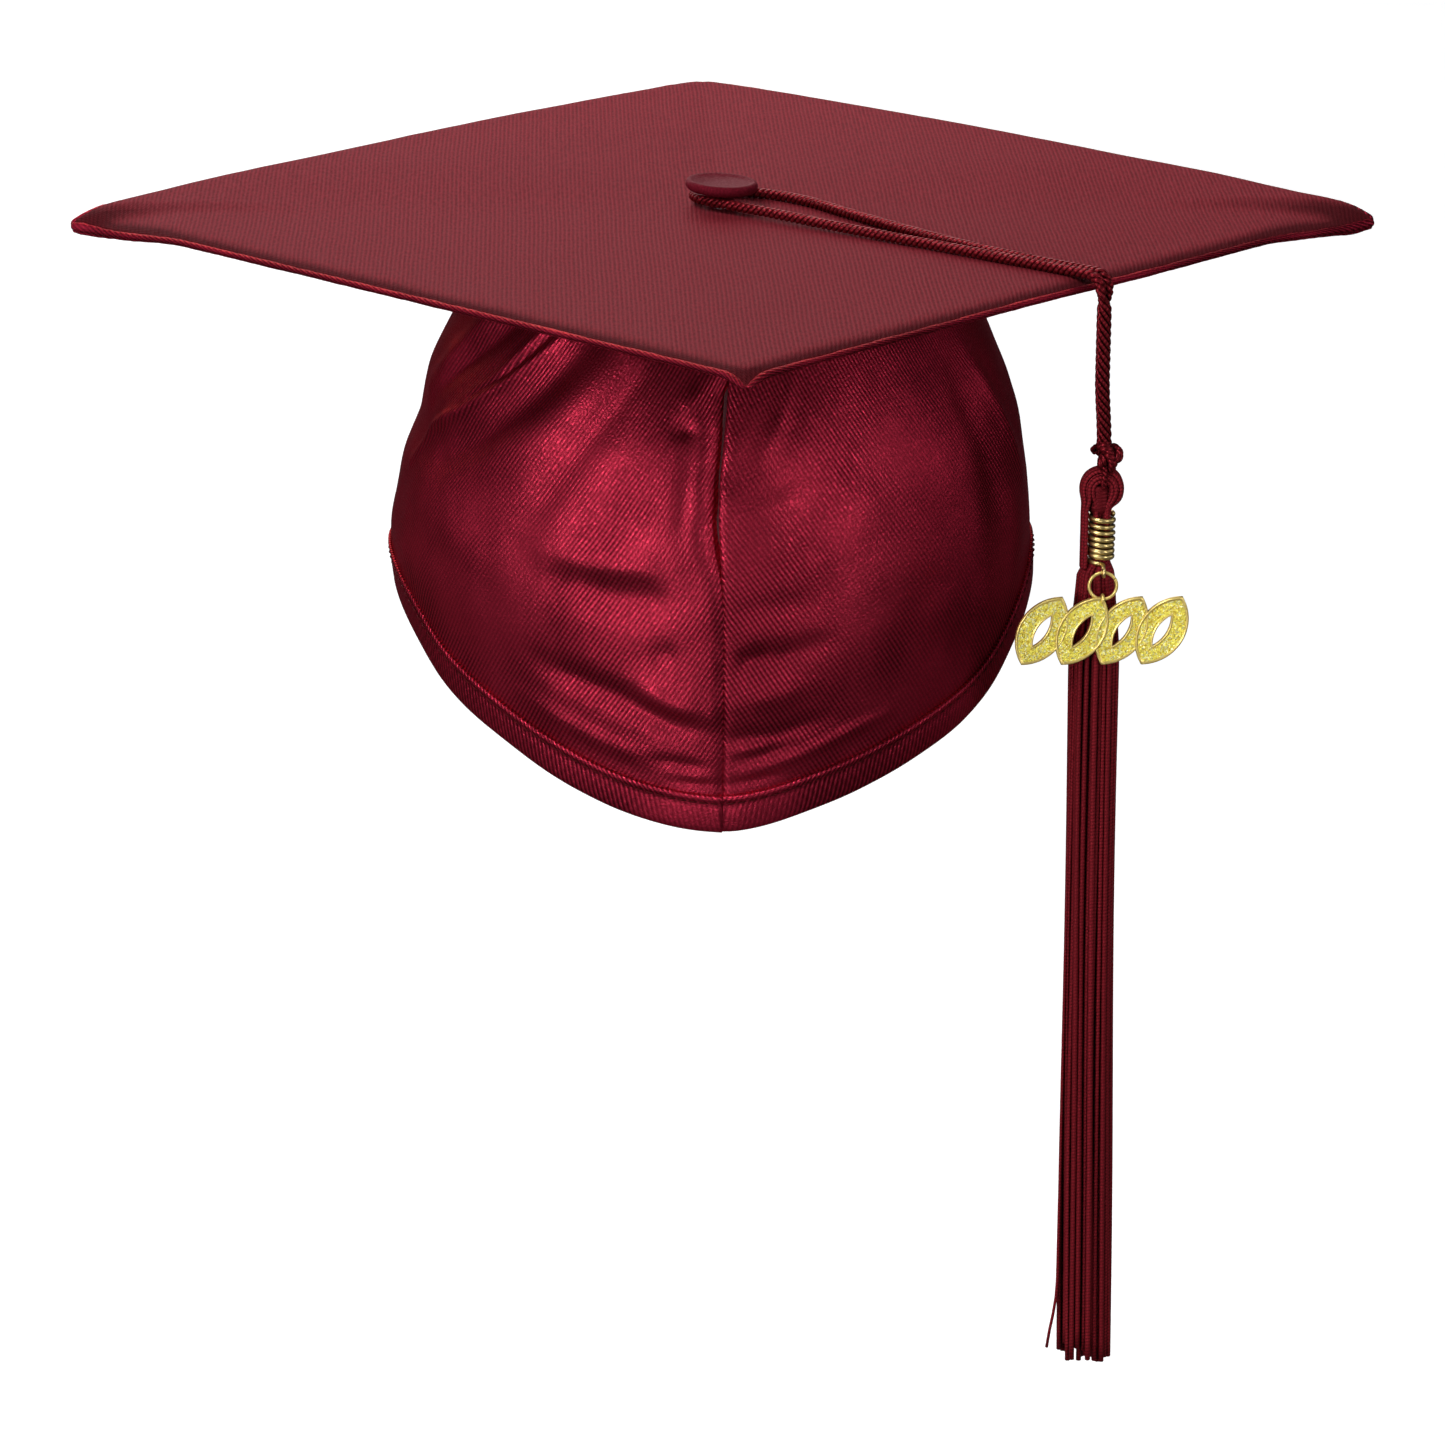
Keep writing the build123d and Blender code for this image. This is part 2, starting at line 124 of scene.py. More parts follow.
# ---- Mesh building -------------------------------------------------------------------------------
class Shape:
    """Gathers grids of points into one mesh, with a corner map in millimetres and a tone per point. The
    tone varies at random, and at its lowest it paints shade on dark cores.
    """

    def __init__(self):
        self.points = []
        self.faces = []
        self.corners = []
        self.tones_and_shades = []
        self.count = 0

    def add(self, points, faces, corners, tone_and_shade=0.5):
        """Adds points and the faces between them. corners has a map place for each corner of each
        face, in turn."""
        points = np.asarray(points, float).reshape(-1, 3)
        self.points.append(points)
        self.faces += [[i + self.count for i in face] for face in faces]
        self.corners += corners
        self.tones_and_shades.append(np.full(len(points), tone_and_shade))
        self.count += len(points)

    def tube(self, rows, lengths, tone_and_shade=0.5, closed=False):
        """A grid of rings, rows x sides x 3, each joined to the next one. An open tube gets a cap at
        both ends, and a closed one joins its last ring to its first."""
        n, sides = rows.shape[:2]
        faces, corners = [], []
        for i in range(n if closed else n - 1):
            m = (i + 1) % n
            for j in range(sides):
                k = (j + 1) % sides
                faces.append([i * sides + j, i * sides + k, m * sides + k, m * sides + j])
                u, w = j / sides, (j + 1) / sides
                corners += [(u, lengths[i]), (w, lengths[i]), (w, lengths[i + 1]), (u, lengths[i + 1])]
        if not closed:
            faces.append(list(range(sides))[::-1])
            faces.append([(n - 1) * sides + j for j in range(sides)])
            corners += [(0.5, lengths[0])] * sides + [(0.5, lengths[-1])] * sides
        self.add(rows, faces, corners, tone_and_shade)

    def strand(self, path, radius, sides, tone_and_shade=0.5, **turned):
        """A round strand along a path, closed at its ends."""
        self.tube(rings(path, radius, sides, **turned), lengths_along(path), tone_and_shade)

    def ring(self, rows):
        """A grid of rings that closes on itself."""
        self.tube(rows, lengths_along(np.concatenate([rows[:, 0], rows[:1, 0]])), closed=True)

    def shell(self, outer, inner, u, v):
        """Two grids, rows x columns x 3, joined round their border into a closed shell."""
        rows, cols = outer.shape[:2]
        n = rows * cols
        index = np.arange(n).reshape(rows, cols)
        quads = np.stack([index[:-1, :-1], index[1:, :-1], index[1:, 1:], index[:-1, 1:]], -1)
        front = quads.reshape(-1, 4)
        border = np.concatenate([index[0], index[1:, -1], index[-1, -2::-1], index[-2:0:-1, 0]])
        onward = np.roll(border, -1)
        rim = np.stack([border, onward, onward + n, border + n], -1)
        faces = np.concatenate([front, front[:, ::-1] + n, rim])
        place = np.stack([np.broadcast_to(u, (rows, cols)), np.broadcast_to(v, (rows, cols))], -1)
        place = np.concatenate([place.reshape(-1, 2)] * 2)
        corners = [tuple(c) for c in place[faces.ravel()]]
        points = np.concatenate([outer.reshape(-1, 3), inner.reshape(-1, 3)])
        self.add(points, faces.tolist(), corners)

    def disc(self, rows):
        """A closed slab, from rings that start at a centre point, grow outwards and come back to a
        centre point underneath. The grid is rows x columns x 3."""
        n, cols = rows.shape[:2]
        middle = rows[1:-1].reshape(-1, 3)
        points = np.concatenate([rows[0, :1], middle, rows[-1, :1]])
        last = len(points) - 1
        faces = []
        for j in range(cols):
            k = (j + 1) % cols
            faces.append([0, 1 + j, 1 + k])
            faces += [[1 + i * cols + j, 1 + (i + 1) * cols + j, 1 + (i + 1) * cols + k, 1 + i * cols + k]
                      for i in range(n - 3)]
            faces.append([1 + (n - 3) * cols + j, last, 1 + (n - 3) * cols + k])
        corners = [tuple(points[i, :2]) for face in faces for i in face]
        self.add(points, faces, corners)

    def build(self, name, material, bodies, slot, replaces=(), smooth=True):
        """Makes the piece, and puts it on its body when bodies is one body's name. bodies may instead be
        two names with the points where a blend between them would start and end; such a piece is left where
        it stands."""
        mesh = bpy.data.meshes.new(name)
        mesh.from_pydata((np.concatenate(self.points) * MM).tolist(), [], self.faces)
        layer = mesh.uv_layers.new(name="mm")
        layer.data.foreach_set("uv", np.array(self.corners, np.float32).ravel())
        tone_and_shade = mesh.attributes.new("tone_and_shade", "FLOAT", "POINT")
        tone_and_shade.data.foreach_set("value", np.concatenate(self.tones_and_shades).astype(np.float32))
        mesh.polygons.foreach_set("use_smooth", [smooth] * len(mesh.polygons))
        mesh.materials.append(material)
        mesh.validate()
        mesh.update()
        piece = bpy.data.objects.new(name, mesh)
        bpy.context.scene.collection.objects.link(piece)
        fix_normals(piece)
        if isinstance(bodies, str):
            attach(piece, bodies)
        else:
            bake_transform(piece)
        if replaces:
            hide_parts(*replaces)


def fix_normals(piece):
    """Turns every face outwards."""
    work = bmesh.new()
    work.from_mesh(piece.data)
    bmesh.ops.recalc_face_normals(work, faces=work.faces)
    work.to_mesh(piece.data)
    work.free()


def build_disc(rows, *where):
    """Makes a piece of one closed slab."""
    shape = Shape()
    shape.disc(rows)
    shape.build(*where)


def lengths_along(path):
    """Distance from the path's start to each of its points."""
    steps = np.linalg.norm(np.diff(path, axis=0), axis=1)
    return np.concatenate([[0], np.cumsum(steps)])


def carried_frames(path, start=None):
    """Two directions square to the path at each point, carried along it without twisting."""
    tangent = np.gradient(path, axis=0)
    tangent /= np.linalg.norm(tangent, axis=1)[:, None]
    first = np.cross(tangent[0], start if start is not None else UP)
    if np.linalg.norm(first) < 1e-3:
        first = np.cross(tangent[0], [1.0, 0, 0])
    side = [first / np.linalg.norm(first)]
    for t in tangent[1:]:
        s = side[-1] - t * (side[-1] @ t)
        side.append(s / np.linalg.norm(s))
    side = np.array(side)
    return side, np.cross(tangent, side)


def rings(path, radius, sides=8, squash=1.0, start=None, turn=0.0):
    """Rings of points round a path. squash flattens them along the second direction."""
    side, other = carried_frames(path, start)
    angle = np.linspace(0, 2 * math.pi, sides, endpoint=False)[None, :, None] + turn
    radius = np.broadcast_to(np.asarray(radius, float), (len(path),))[:, None, None]
    return (path[:, None] + side[:, None] * np.cos(angle) * radius
            + other[:, None] * np.sin(angle) * radius * squash)


def smooth_path(path, rounds):
    """Each round moves every point towards its neighbours; the ends stay."""
    path = path.copy()
    for _ in range(rounds):
        path[1:-1] = (path[:-2] + 2 * path[1:-1] + path[2:]) / 4
    return path


def resample(path, step):
    """The same path with points this far apart."""
    lengths = lengths_along(path)
    wanted = np.linspace(0, lengths[-1], max(int(lengths[-1] / step), 3))
    return np.stack([np.interp(wanted, lengths, path[:, k]) for k in range(3)], -1)


def spread(first, last, count):
    """Evenly spaced numbers."""
    return list(np.linspace(first, last, count))


def soft_step(x):
    """0 below 0 and 1 above 1, with a smooth rise between them."""
    x = np.clip(x, 0, 1)
    return x * x * (3 - 2 * x)


def bell(x, width):
    """1 at 0, falling smoothly to nearly nothing at twice this width."""
    return np.exp(-(x / width) ** 2)


def rough(points, scale, seed):
    """Smooth noise, about -1 to 1, at each point of an array, with features about scale long."""
    flat = np.asarray(points, float).reshape(-1, 3) / scale
    values = [noise.noise(Vector((x + seed * 17.3, y - seed * 9.1, z + seed * 4.7))) for x, y, z in flat]
    return np.array(values).reshape(np.shape(points)[:-1])


# ---- Materials -----------------------------------------------------------------------------------
class Recipe:
    """A node material, written as a chain of short calls."""

    def __init__(self, name):
        self.material = bpy.data.materials.new(name)
        self.material.use_nodes = True
        self.tree = self.material.node_tree
        self.shader = self.tree.nodes["Principled BSDF"]

    def node(self, kind, inputs=None, **settings):
        made = self.tree.nodes.new("ShaderNode" + kind)
        for key, value in settings.items():
            setattr(made, key, value)
        for key, value in (inputs or {}).items():
            self.put(made.inputs[key], value)
        return made

    def put(self, socket, value):
        if isinstance(value, bpy.types.NodeSocket):
            self.tree.links.new(value, socket)
        else:
            socket.default_value = value

    def math(self, operation, a, b=0.0, c=0.0):
        return self.node("Math", {0: a, 1: b, 2: c}, operation=operation).outputs[0]

    def times(self, a, b):
        return self.math("MULTIPLY", a, b)

    def plus(self, a, b):
        return self.math("ADD", a, b)

    def vector(self, operation, inputs):
        return self.node("VectorMath", inputs, operation=operation).outputs[0]

    def mix(self, share, a, b):
        made = self.node("Mix", {0: share}, data_type="RGBA")
        self.put(made.inputs[6], a)
        self.put(made.inputs[7], b)
        return made.outputs[2]

    def noise(self, scale, coordinates=None, detail=3.0):
        inputs = {"Scale": scale, "Detail": detail}
        if coordinates is not None:
            inputs["Vector"] = coordinates
        return self.node("TexNoise", inputs).outputs[0]

    def place(self):
        """Object coordinates, in millimetres."""
        coordinates = self.node("TexCoord").outputs["Object"]
        return self.vector("SCALE", {0: coordinates, 3: 1000.0})

    def corner_map(self):
        return self.node("UVMap", uv_map="mm").outputs[0]

    def split(self, vector):
        made = self.node("SeparateXYZ", {0: vector})
        return made.outputs[0], made.outputs[1], made.outputs[2]

    def waves(self, distance, pitch):
        """A wave from 0 to 1 that repeats every pitch."""
        angle = self.times(distance, 2 * math.pi / pitch)
        return self.math("MULTIPLY_ADD", self.math("SINE", angle), 0.5, 0.5)

    def across(self, u, v, degrees):
        """Distance square to lines at this angle from u."""
        a = math.radians(degrees)
        return self.plus(self.times(u, -math.sin(a)), self.times(v, math.cos(a)))

    def sharpen(self, value, low, high):
        """Spreads values between low and high over 0 to 1."""
        return self.node("MapRange", {0: value, 1: low, 2: high}).outputs[0]

    def groove_shade_mask(self, distance):
        """0 deep in a groove up to 1 in the open, judged over this many millimetres. It masks painted shade
        in grooves, folds and hollows.
        """
        made = self.node("AmbientOcclusion", {"Distance": distance * MM}, samples=6, only_local=True)
        return self.sharpen(made.outputs["AO"], 0.35, 0.85)

    def bump(self, height, distance, strength=1.0, under=None):
        made = self.node("Bump", {"Height": height, "Distance": distance * MM, "Strength": strength})
        if under is not None:
            self.put(made.inputs["Normal"], under)
        return made.outputs[0]

    def finish(self, **values):
        names = {"base": "Base Color", "rough": "Roughness", "metal": "Metallic", "normal": "Normal",
                 "sheen": "Sheen Weight", "sheen_rough": "Sheen Roughness", "sheen_tint": "Sheen Tint",
                 "specular": "Specular IOR Level", "tint": "Specular Tint"}
        for key, value in values.items():
            self.put(self.shader.inputs[names[key]], value)
        return self.material


def shade(color, factor):
    """The same colour, this many times as bright."""
    return tuple(min(1.0, c * factor) for c in color[:3]) + (1.0,)


BOARD_RED = (0.124, 0.0112, 0.0165, 1.0)
SATIN_RED = (0.400, 0.021, 0.048, 1.0)
CORD_RED = (0.185, 0.011, 0.017, 1.0)
GOLD = (0.95, 0.72, 0.22, 1.0)
OLD_GOLD = (0.80, 0.60, 0.24, 1.0)


def ribbed_twill():
    """Board fabric: matte, with fine ribs that run front to back and a slight slub. It is painted darker
    where it rolls over an edge: painted shade, as the turned-down fabric faces away from the lamps above."""
    r = Recipe("ribbed_twill")
    place = r.place()
    x, y, z = r.split(place)
    drift = r.times(r.noise(0.015, place), 1.5)
    rib = r.waves(r.plus(x, drift), 1.12)
    yarn = r.waves(r.plus(y, r.times(x, 0.9)), 0.85)
    stretched = r.vector("MULTIPLY", {0: place, 1: (1.6, 0.5, 1.0)})
    slub = r.sharpen(r.noise(0.9, stretched), 0.35, 0.65)
    weave = r.plus(r.times(rib, 0.42), r.times(yarn, 0.26))
    weave = r.plus(weave, r.times(slub, 0.32))
    patches = r.noise(0.018, place)
    fibres = r.noise(1.4, place)
    color = r.mix(weave, shade(BOARD_RED, 0.30), shade(BOARD_RED, 1.85))
    color = r.mix(r.times(patches, 0.30), color, shade(BOARD_RED, 0.70))
    color = r.mix(r.times(fibres, 0.25), color, shade(BOARD_RED, 1.5))
    normal = r.bump(weave, 0.24, 1.0, r.bump(fibres, 0.05, 0.5))
    # Painted shade: darkens the fabric where its surface turns away from level, as on the rolled edges.
    facing = r.split(r.node("NewGeometry").outputs["Normal"])[2]
    painted_edge_shade = r.sharpen(r.math("ABSOLUTE", facing), 0.995, 0.93)
    color = r.mix(r.times(painted_edge_shade, 0.75), color, shade(BOARD_RED, 0.18))
    return r.finish(base=color, rough=0.68, normal=normal, sheen=0.05, sheen_rough=0.5,
                    sheen_tint=(0.8, 0.15, 0.2, 1), specular=0.012)


def satin_twill(name, degrees, pitch=1.15, color=SATIN_RED, contrast=1.0, metal=0.86, gloss=0.30,
                specular=0.4):
    """Skull cap fabric: bright face, fine diagonal twill at this angle from the u axis."""
    r = Recipe(name)
    place = r.place()
    u, v, _ = r.split(r.corner_map())
    drift = r.times(r.noise(0.03, place), 1.0)
    diagonal = r.plus(r.across(u, v, degrees), drift)
    line = r.waves(diagonal, pitch)
    yarn = r.waves(r.across(u, v, degrees + 75), pitch * 1.15)
    weave = r.plus(r.times(line, 0.82), r.times(yarn, 0.18))
    worn = r.node("MapRange", {0: r.noise(0.028, place), 1: 0.40, 2: 0.62, 3: 1.0, 4: 0.35})
    smooth_here = worn.outputs[0]
    grain = r.sharpen(r.noise(1.9, place, 2.0), 0.34, 0.66)
    patches = r.noise(0.035, place)
    thread = r.times(r.math("SUBTRACT", 1.0, weave), r.times(smooth_here, contrast))
    base = r.mix(thread, shade(color, 1.25), shade(color, 0.12))
    base = r.mix(r.times(grain, 0.50), base, shade(color, 0.35))
    base = r.mix(r.times(patches, 0.25), base, shade(color, 0.60))
    # Painted shade: the satin is darkened deep in its folds and in the seam groove.
    base = r.mix(r.groove_shade_mask(6.0), shade(color, 0.10), base)
    roughness = r.plus(gloss, r.times(grain, 0.16))
    depth = r.times(weave, smooth_here)
    normal = r.bump(depth, 0.17, 0.55 * contrast, r.bump(grain, 0.10, 0.6))
    return r.finish(base=base, rough=roughness, metal=metal, normal=normal, specular=specular,
                    tint=(0.75, 0.12, 0.22, 1))


def yarn_material(name, color, slant, pitch, roughness=0.36, shine=0.35, contrast=0.8):
    """Twisted yarn: fine fibres that slant round each strand. The map's u goes once round."""
    r = Recipe(name)
    u, v, _ = r.split(r.corner_map())
    fibre = r.waves(r.plus(r.times(u, pitch * slant), v), pitch)
    fine = r.noise(2.2, r.place())
    tone_and_shade = r.node("Attribute", attribute_name="tone_and_shade").outputs["Fac"]
    base = r.mix(fibre, shade(color, 0.9 - 0.5 * contrast), shade(color, 0.9 + 0.5 * contrast))
    # Strands differ in tone at random; cores drawn at tone 0 come out darkest, as painted shade between the
    # plies and strands.
    base = r.mix(tone_and_shade, shade(color, 0.45), base)
    base = r.mix(r.times(fine, 0.20), base, shade(color, 1.6))
    # Painted shade: darkened in the grooves between plies and between strands.
    base = r.mix(r.groove_shade_mask(1.5), shade(color, 0.06), base)
    normal = r.bump(fibre, 0.13 * contrast, 0.6, r.bump(fine, 0.05, 0.4))
    return r.finish(base=base, rough=roughness, metal=shine, normal=normal, specular=0.22,
                    tint=(0.8, 0.2, 0.25, 1))


def felt():
    r = Recipe("crown_felt")
    place = r.place()
    fibres = r.noise(1.4, place, 6.0)
    base = r.mix(fibres, (0.012, 0.010, 0.011, 1), (0.060, 0.055, 0.058, 1))
    return r.finish(base=base, rough=0.95, sheen=0.5, normal=r.bump(fibres, 0.3, 0.8), specular=0.2)


def plain_weave(name, color, pitch):
    """Flat tape or label: over and under threads."""
    r = Recipe(name)
    u, v, _ = r.split(r.corner_map())
    over = r.times(r.waves(u, pitch), r.waves(v, pitch))
    fibres = r.noise(2.0, r.place())
    base = r.mix(over, shade(color, 0.75), shade(color, 1.15))
    base = r.mix(r.times(fibres, 0.3), base, shade(color, 0.8))
    return r.finish(base=base, rough=0.7, normal=r.bump(over, 0.12, 0.6), sheen=0.2)


def wire(name, color, roughness, metal=1.0):
    """Plated wire or casting with light scratches and painted shade in its hollows."""
    r = Recipe(name)
    place = r.place()
    scratches = r.noise(3.0, place, 5.0)
    tarnish = r.noise(0.5, place)
    base = r.mix(r.times(tarnish, 0.4), color, shade(color, 0.6))
    # Painted shade in the hollows, such as between the turns of the coil.
    base = r.mix(r.groove_shade_mask(1.0), shade(color, 0.10), base)
    rough = r.plus(roughness, r.times(scratches, 0.15))
    return r.finish(base=base, rough=rough, metal=metal, normal=r.bump(scratches, 0.02, 0.4))


def glitter():
    """Glitter flakes: every flake has its own colour and its own tilt, and some flakes are painted pale as
    glints.
    """
    r = Recipe("charm_glitter")
    place = r.place()
    flake = r.node("TexVoronoi", {"Vector": place, "Scale": 2.6}, feature="F1").outputs["Color"]
    red, green, _ = r.split(flake)
    base = r.mix(r.sharpen(red, 0.08, 0.5), (0.60, 0.40, 0.02, 1), (1.0, 0.88, 0.12, 1))
    # Painted highlight: flakes past this mark are painted pale, as if catching the light.
    base = r.mix(r.math("GREATER_THAN", green, 0.75), base, (1.0, 0.96, 0.46, 1))
    tilt = r.vector("SUBTRACT", {0: flake, 1: (0.5, 0.5, 0.5)})
    tilt = r.vector("SCALE", {0: tilt, 3: 1.1})
    tilted = r.vector("ADD", {0: r.node("NewGeometry").outputs["Normal"], 1: tilt})
    return r.finish(base=base, rough=0.35, metal=0.15, normal=r.vector("NORMALIZE", {0: tilted}))


def plain(name, color, roughness, metal=0.0, grain=2.0, depth=0.03):
    """Card, steel or aluminium with a fine grain."""
    r = Recipe(name)
    marks = r.noise(grain, r.place(), 4.0)
    base = r.mix(r.times(marks, 0.5), color, shade(color, 0.7))
    return r.finish(base=base, rough=roughness, metal=metal, normal=r.bump(marks, depth, 0.5))


BOARD_FABRIC = ribbed_twill()
SATIN = satin_twill("satin_panel", -54, contrast=1.25)
BAND_FABRIC = satin_twill("satin_band", 72, pitch=1.3, color=shade(SATIN_RED, 1.1), contrast=1.7)
PIPING_FABRIC = satin_twill("satin_piping", 58, pitch=1.2, color=shade(SATIN_RED, 0.8), contrast=1.8,
                            metal=0.75, specular=0.15)
BUTTON_FABRIC = satin_twill("satin_button", 50, pitch=0.8, color=shade(SATIN_RED, 0.26), contrast=0.3,
                            metal=0.1, gloss=0.62, specular=0.06)
CORD_YARN = yarn_material("cord_yarn", shade(CORD_RED, 0.74), -1.0, 0.8, roughness=0.30, shine=0.5,
                          contrast=0.9)
STRAND_YARN = yarn_material("strand_yarn", shade(CORD_RED, 1.15), -0.8, 0.9, roughness=0.45)
THREAD = yarn_material("thread", shade(CORD_RED, 0.35), 1.0, 0.3, roughness=0.7, shine=0.0)
FELT = felt()
TAPE = plain_weave("seam_tape", (0.085, 0.008, 0.014, 1), 0.7)
ELASTIC = plain_weave("elastic", (0.05, 0.008, 0.012, 1), 1.1)
LABEL = plain_weave("care_label", (0.72, 0.70, 0.66, 1), 0.45)
GILT_WIRE = wire("gilt_wire", OLD_GOLD, 0.24)
GILT = wire("gilt", GOLD, 0.26, metal=0.7)
GLITTER = glitter()
CARD = plain("board_card", (0.32, 0.25, 0.18, 1), 0.85, grain=0.8, depth=0.1)
ALUMINIUM = plain("button_aluminium", (0.62, 0.62, 0.63, 1), 0.38, 1.0)
STEEL = plain("retainer_steel", (0.45, 0.45, 0.47, 1), 0.32, 1.0)


# ---- Board ---------------------------------------------------------------------------------------
ARC_STEPS = 14
SIDE_STEPS = 120
CORNER_RADIUS = 2.2         # the sewn fabric corner is tighter than the stiffened one
CARD_CORNER = 17.0          # the card's corners are cut well back
RIM_WIDTH = 4.0             # inside this rim, each ring of a board sheet is the rim's ring made smaller
CENTRE = HALF_SIDE - 0.01   # inset of the innermost ring of a board sheet
CREASE_LENGTH = 9.0         # of the stitched crease at each corner


def board_outline(inset, corner=CORNER_RADIUS):
    """Points round the board, this far inside its edge, with corners on the X and Y axes."""
    radius = max(corner - inset, 0.35)
    reach = (HALF_SIDE - inset - radius) * math.sqrt(2)
    middles = [reach * np.array([math.cos(a), math.sin(a)]) for a in np.arange(5) * math.pi / 2]
    points = []
    for k in range(len(middles) - 1):
        turn = k * math.pi / 2 + np.linspace(-math.pi / 4, math.pi / 4, ARC_STEPS)
        arc = middles[k] + radius * np.stack([np.cos(turn), np.sin(turn)], -1)
        onward = middles[k + 1] + radius * np.array([math.cos(turn[-1]), math.sin(turn[-1])])
        share = np.linspace(0, 1, SIDE_STEPS + 2)[1:-1, None]
        points += [arc, arc[-1] + (onward - arc[-1]) * share]
    return np.concatenate(points)


def tip_share(distance, start, length):
    """How far into a corner tip: 0 before its start, 1 this much further out."""
    return np.clip((distance - start) / length, 0, 1.1)


def soften_tips(points, low_share):
    """Shapes the unstiffened corner tips and the soft edge: the tips stretch outwards, hang down and
    thicken, the back lifts, and the sides sag. low_share is 0 at the board's top, 1 at its underside."""
    shaped = points.copy()
    x, y = points[..., 0], points[..., 1]
    from_edge = HALF_SIDE - (np.abs(x) + np.abs(y)) / math.sqrt(2)
    left_tip = tip_share(x, 153, 15)
    right_tip = tip_share(-x, 163, 5)
    front_tip = tip_share(-y, 163.5, 5.5)
    back_tip = tip_share(y, 161, 8)
    shaped[..., 0] += 3.3 * left_tip ** 1.6 - 1.6 * right_tip ** 1.2
    shaped[..., 1] += -2.0 * front_tip ** 1.5 + 0.4 * back_tip ** 1.5

    droop = 1.3 * left_tip ** 5 + 1.2 * right_tip ** 1.5 + 2.6 * front_tip ** 1.4 + 1.0 * back_tip ** 1.5
    swell = bell(np.abs(x) - 166, 6) + 0.35 * bell(np.abs(y) - 166, 4)
    shaped[..., 2] -= droop * (1 - 0.4 * low_share) + 1.0 * swell * low_share

    from_tip = np.clip(np.abs(x) / TIP, 0, 1)
    back_lift = 9.0 * from_tip * (1 - from_tip) * soft_step((y + 10) / 60)
    side_lift = 1.15 * soft_step((np.abs(x) - 106) / 36) * soft_step((y + 5) / 10)
    roll = 0.75 * bell(from_edge, 3.2) * soft_step((10 - y) / 30)
    left_sag = 0.75 * soft_step((x - 70) / 40) + 2.3 * soft_step((x - 137) / 24)
    right_sag = 2.4 * soft_step((-x - 138) / 22)
    sag = (left_sag + right_sag) * soft_step((7 - y) / 14) * soft_step((40 - from_edge) / 40)
    shaped[..., 2] += (back_lift + side_lift - roll) * (1 - low_share) - sag * (0.8 + 0.2 * low_share)
    return shaped


def corner_crease(x, y):
    """1 in the stitched crease at each corner, falling to 0 beside it."""
    front_and_back = bell(x, 0.8) * (np.abs(y) > TIP - CREASE_LENGTH)
    sides = bell(y, 0.8) * (np.abs(x) > TIP - CREASE_LENGTH)
    return front_and_back + sides


def board_sheet(levels, seed, ripple, corner=CORNER_RADIUS):
    """The rings of a square slab. levels are (inset, z), from the centre outwards, over and back."""
    rows = []
    for inset, z in levels:
        ring = board_outline(min(inset, RIM_WIDTH), corner)
        if inset > RIM_WIDTH:
            ring = ring * (HALF_SIDE - inset) / (HALF_SIDE - RIM_WIDTH)
        rows.append(np.column_stack([ring, np.full(len(ring), z)]))
    rows = np.array(rows)
    low_share = np.clip((BOARD_TOP - rows[..., 2]) / (BOARD_TOP - BOARD_UNDER), 0, 1)
    flat = rows * [1, 1, 0]
    rows = soften_tips(rows, low_share)
    rows[..., 2] += ripple * rough(flat, 26, seed)
    near_edge = np.clip(1 - np.array([inset for inset, _ in levels]) / 7, 0, 1)[:, None]
    crease = 0.5 * corner_crease(flat[..., 0], flat[..., 1])
    rows[..., 2] += near_edge * (0.10 * rough(flat, 6, seed + 20) - crease)
    return rows


def flat_part(z):
    """Levels of the flat part of a sheet, from the board's centre outwards."""
    return [(inset, z) for inset in [CENTRE] + spread(HALF_SIDE - 2, 9, 42)]


def make_board():
    """The two covers. The top one rolls over the edge into the groove above the piping."""
    top, card_top, low = BOARD_TOP, BOARD_TOP - 0.5, BOARD_UNDER
    over = flat_part(top)
    over += [(8, top), (6.6, top - 0.02), (5.4, top - 0.08), (4.2, top - 0.19), (3.2, top - 0.34),
             (2.4, top - 0.52), (1.75, top - 0.74), (1.3, top - 0.96), (1.05, top - 1.2), (1.1, top - 1.42)]
    under = [(1.6, top - 1.5), (2.1, card_top - 0.7), (2.8, card_top - 0.3), (3.8, card_top),
             (CENTRE, card_top)]
    build_disc(board_sheet(over + under, 1, 0.15), "board_top_cover_cloth", BOARD_FABRIC, "cap",
               "board_twill", ["board_top_cover"])

    over = flat_part(low)
    over += [(7, low), (5.2, low), (4.0, low + 0.04), (3.0, low + 0.15), (2.4, low + 0.3), (2.2, low + 0.6)]
    under = [(2.4, low + 0.75), (3.0, low + 0.65), (4.0, low + 0.5), (CENTRE, low + 0.5)]
    build_disc(board_sheet(over + under, 2, 0.12), "board_bottom_cover_cloth", BOARD_FABRIC, "cap",
               "board_twill", ["board_bottom_cover"])


def make_card():
    """The stiffener: pressed thinner round its rim, its corners cut back so the tips stay soft."""
    (_, _, low), (_, _, high) = cad_box("board_core")
    over = flat_part(high - 0.08)
    over += [(7, high - 0.18), (5.4, high - 0.5), (4.4, high - 0.9), (3.8, high - 1.2)]
    under = [(3.9, low + 0.6), (4.6, low + 0.3), (6, low + 0.1), (CENTRE, low + 0.1)]
    build_disc(board_sheet(over + under, 1, 0.15, corner=CARD_CORNER), "board_card_pressed", CARD, "cap",
               "board_card", ["board_core"])


def arc_points(center, radius, first, last, count):
    """Points round part of a circle, as (inset, z). 0 degrees faces outwards and 90 faces up."""
    return [(center[0] - radius * math.cos(math.radians(a)), center[1] + radius * math.sin(math.radians(a)))
            for a in np.linspace(first, last, count)]


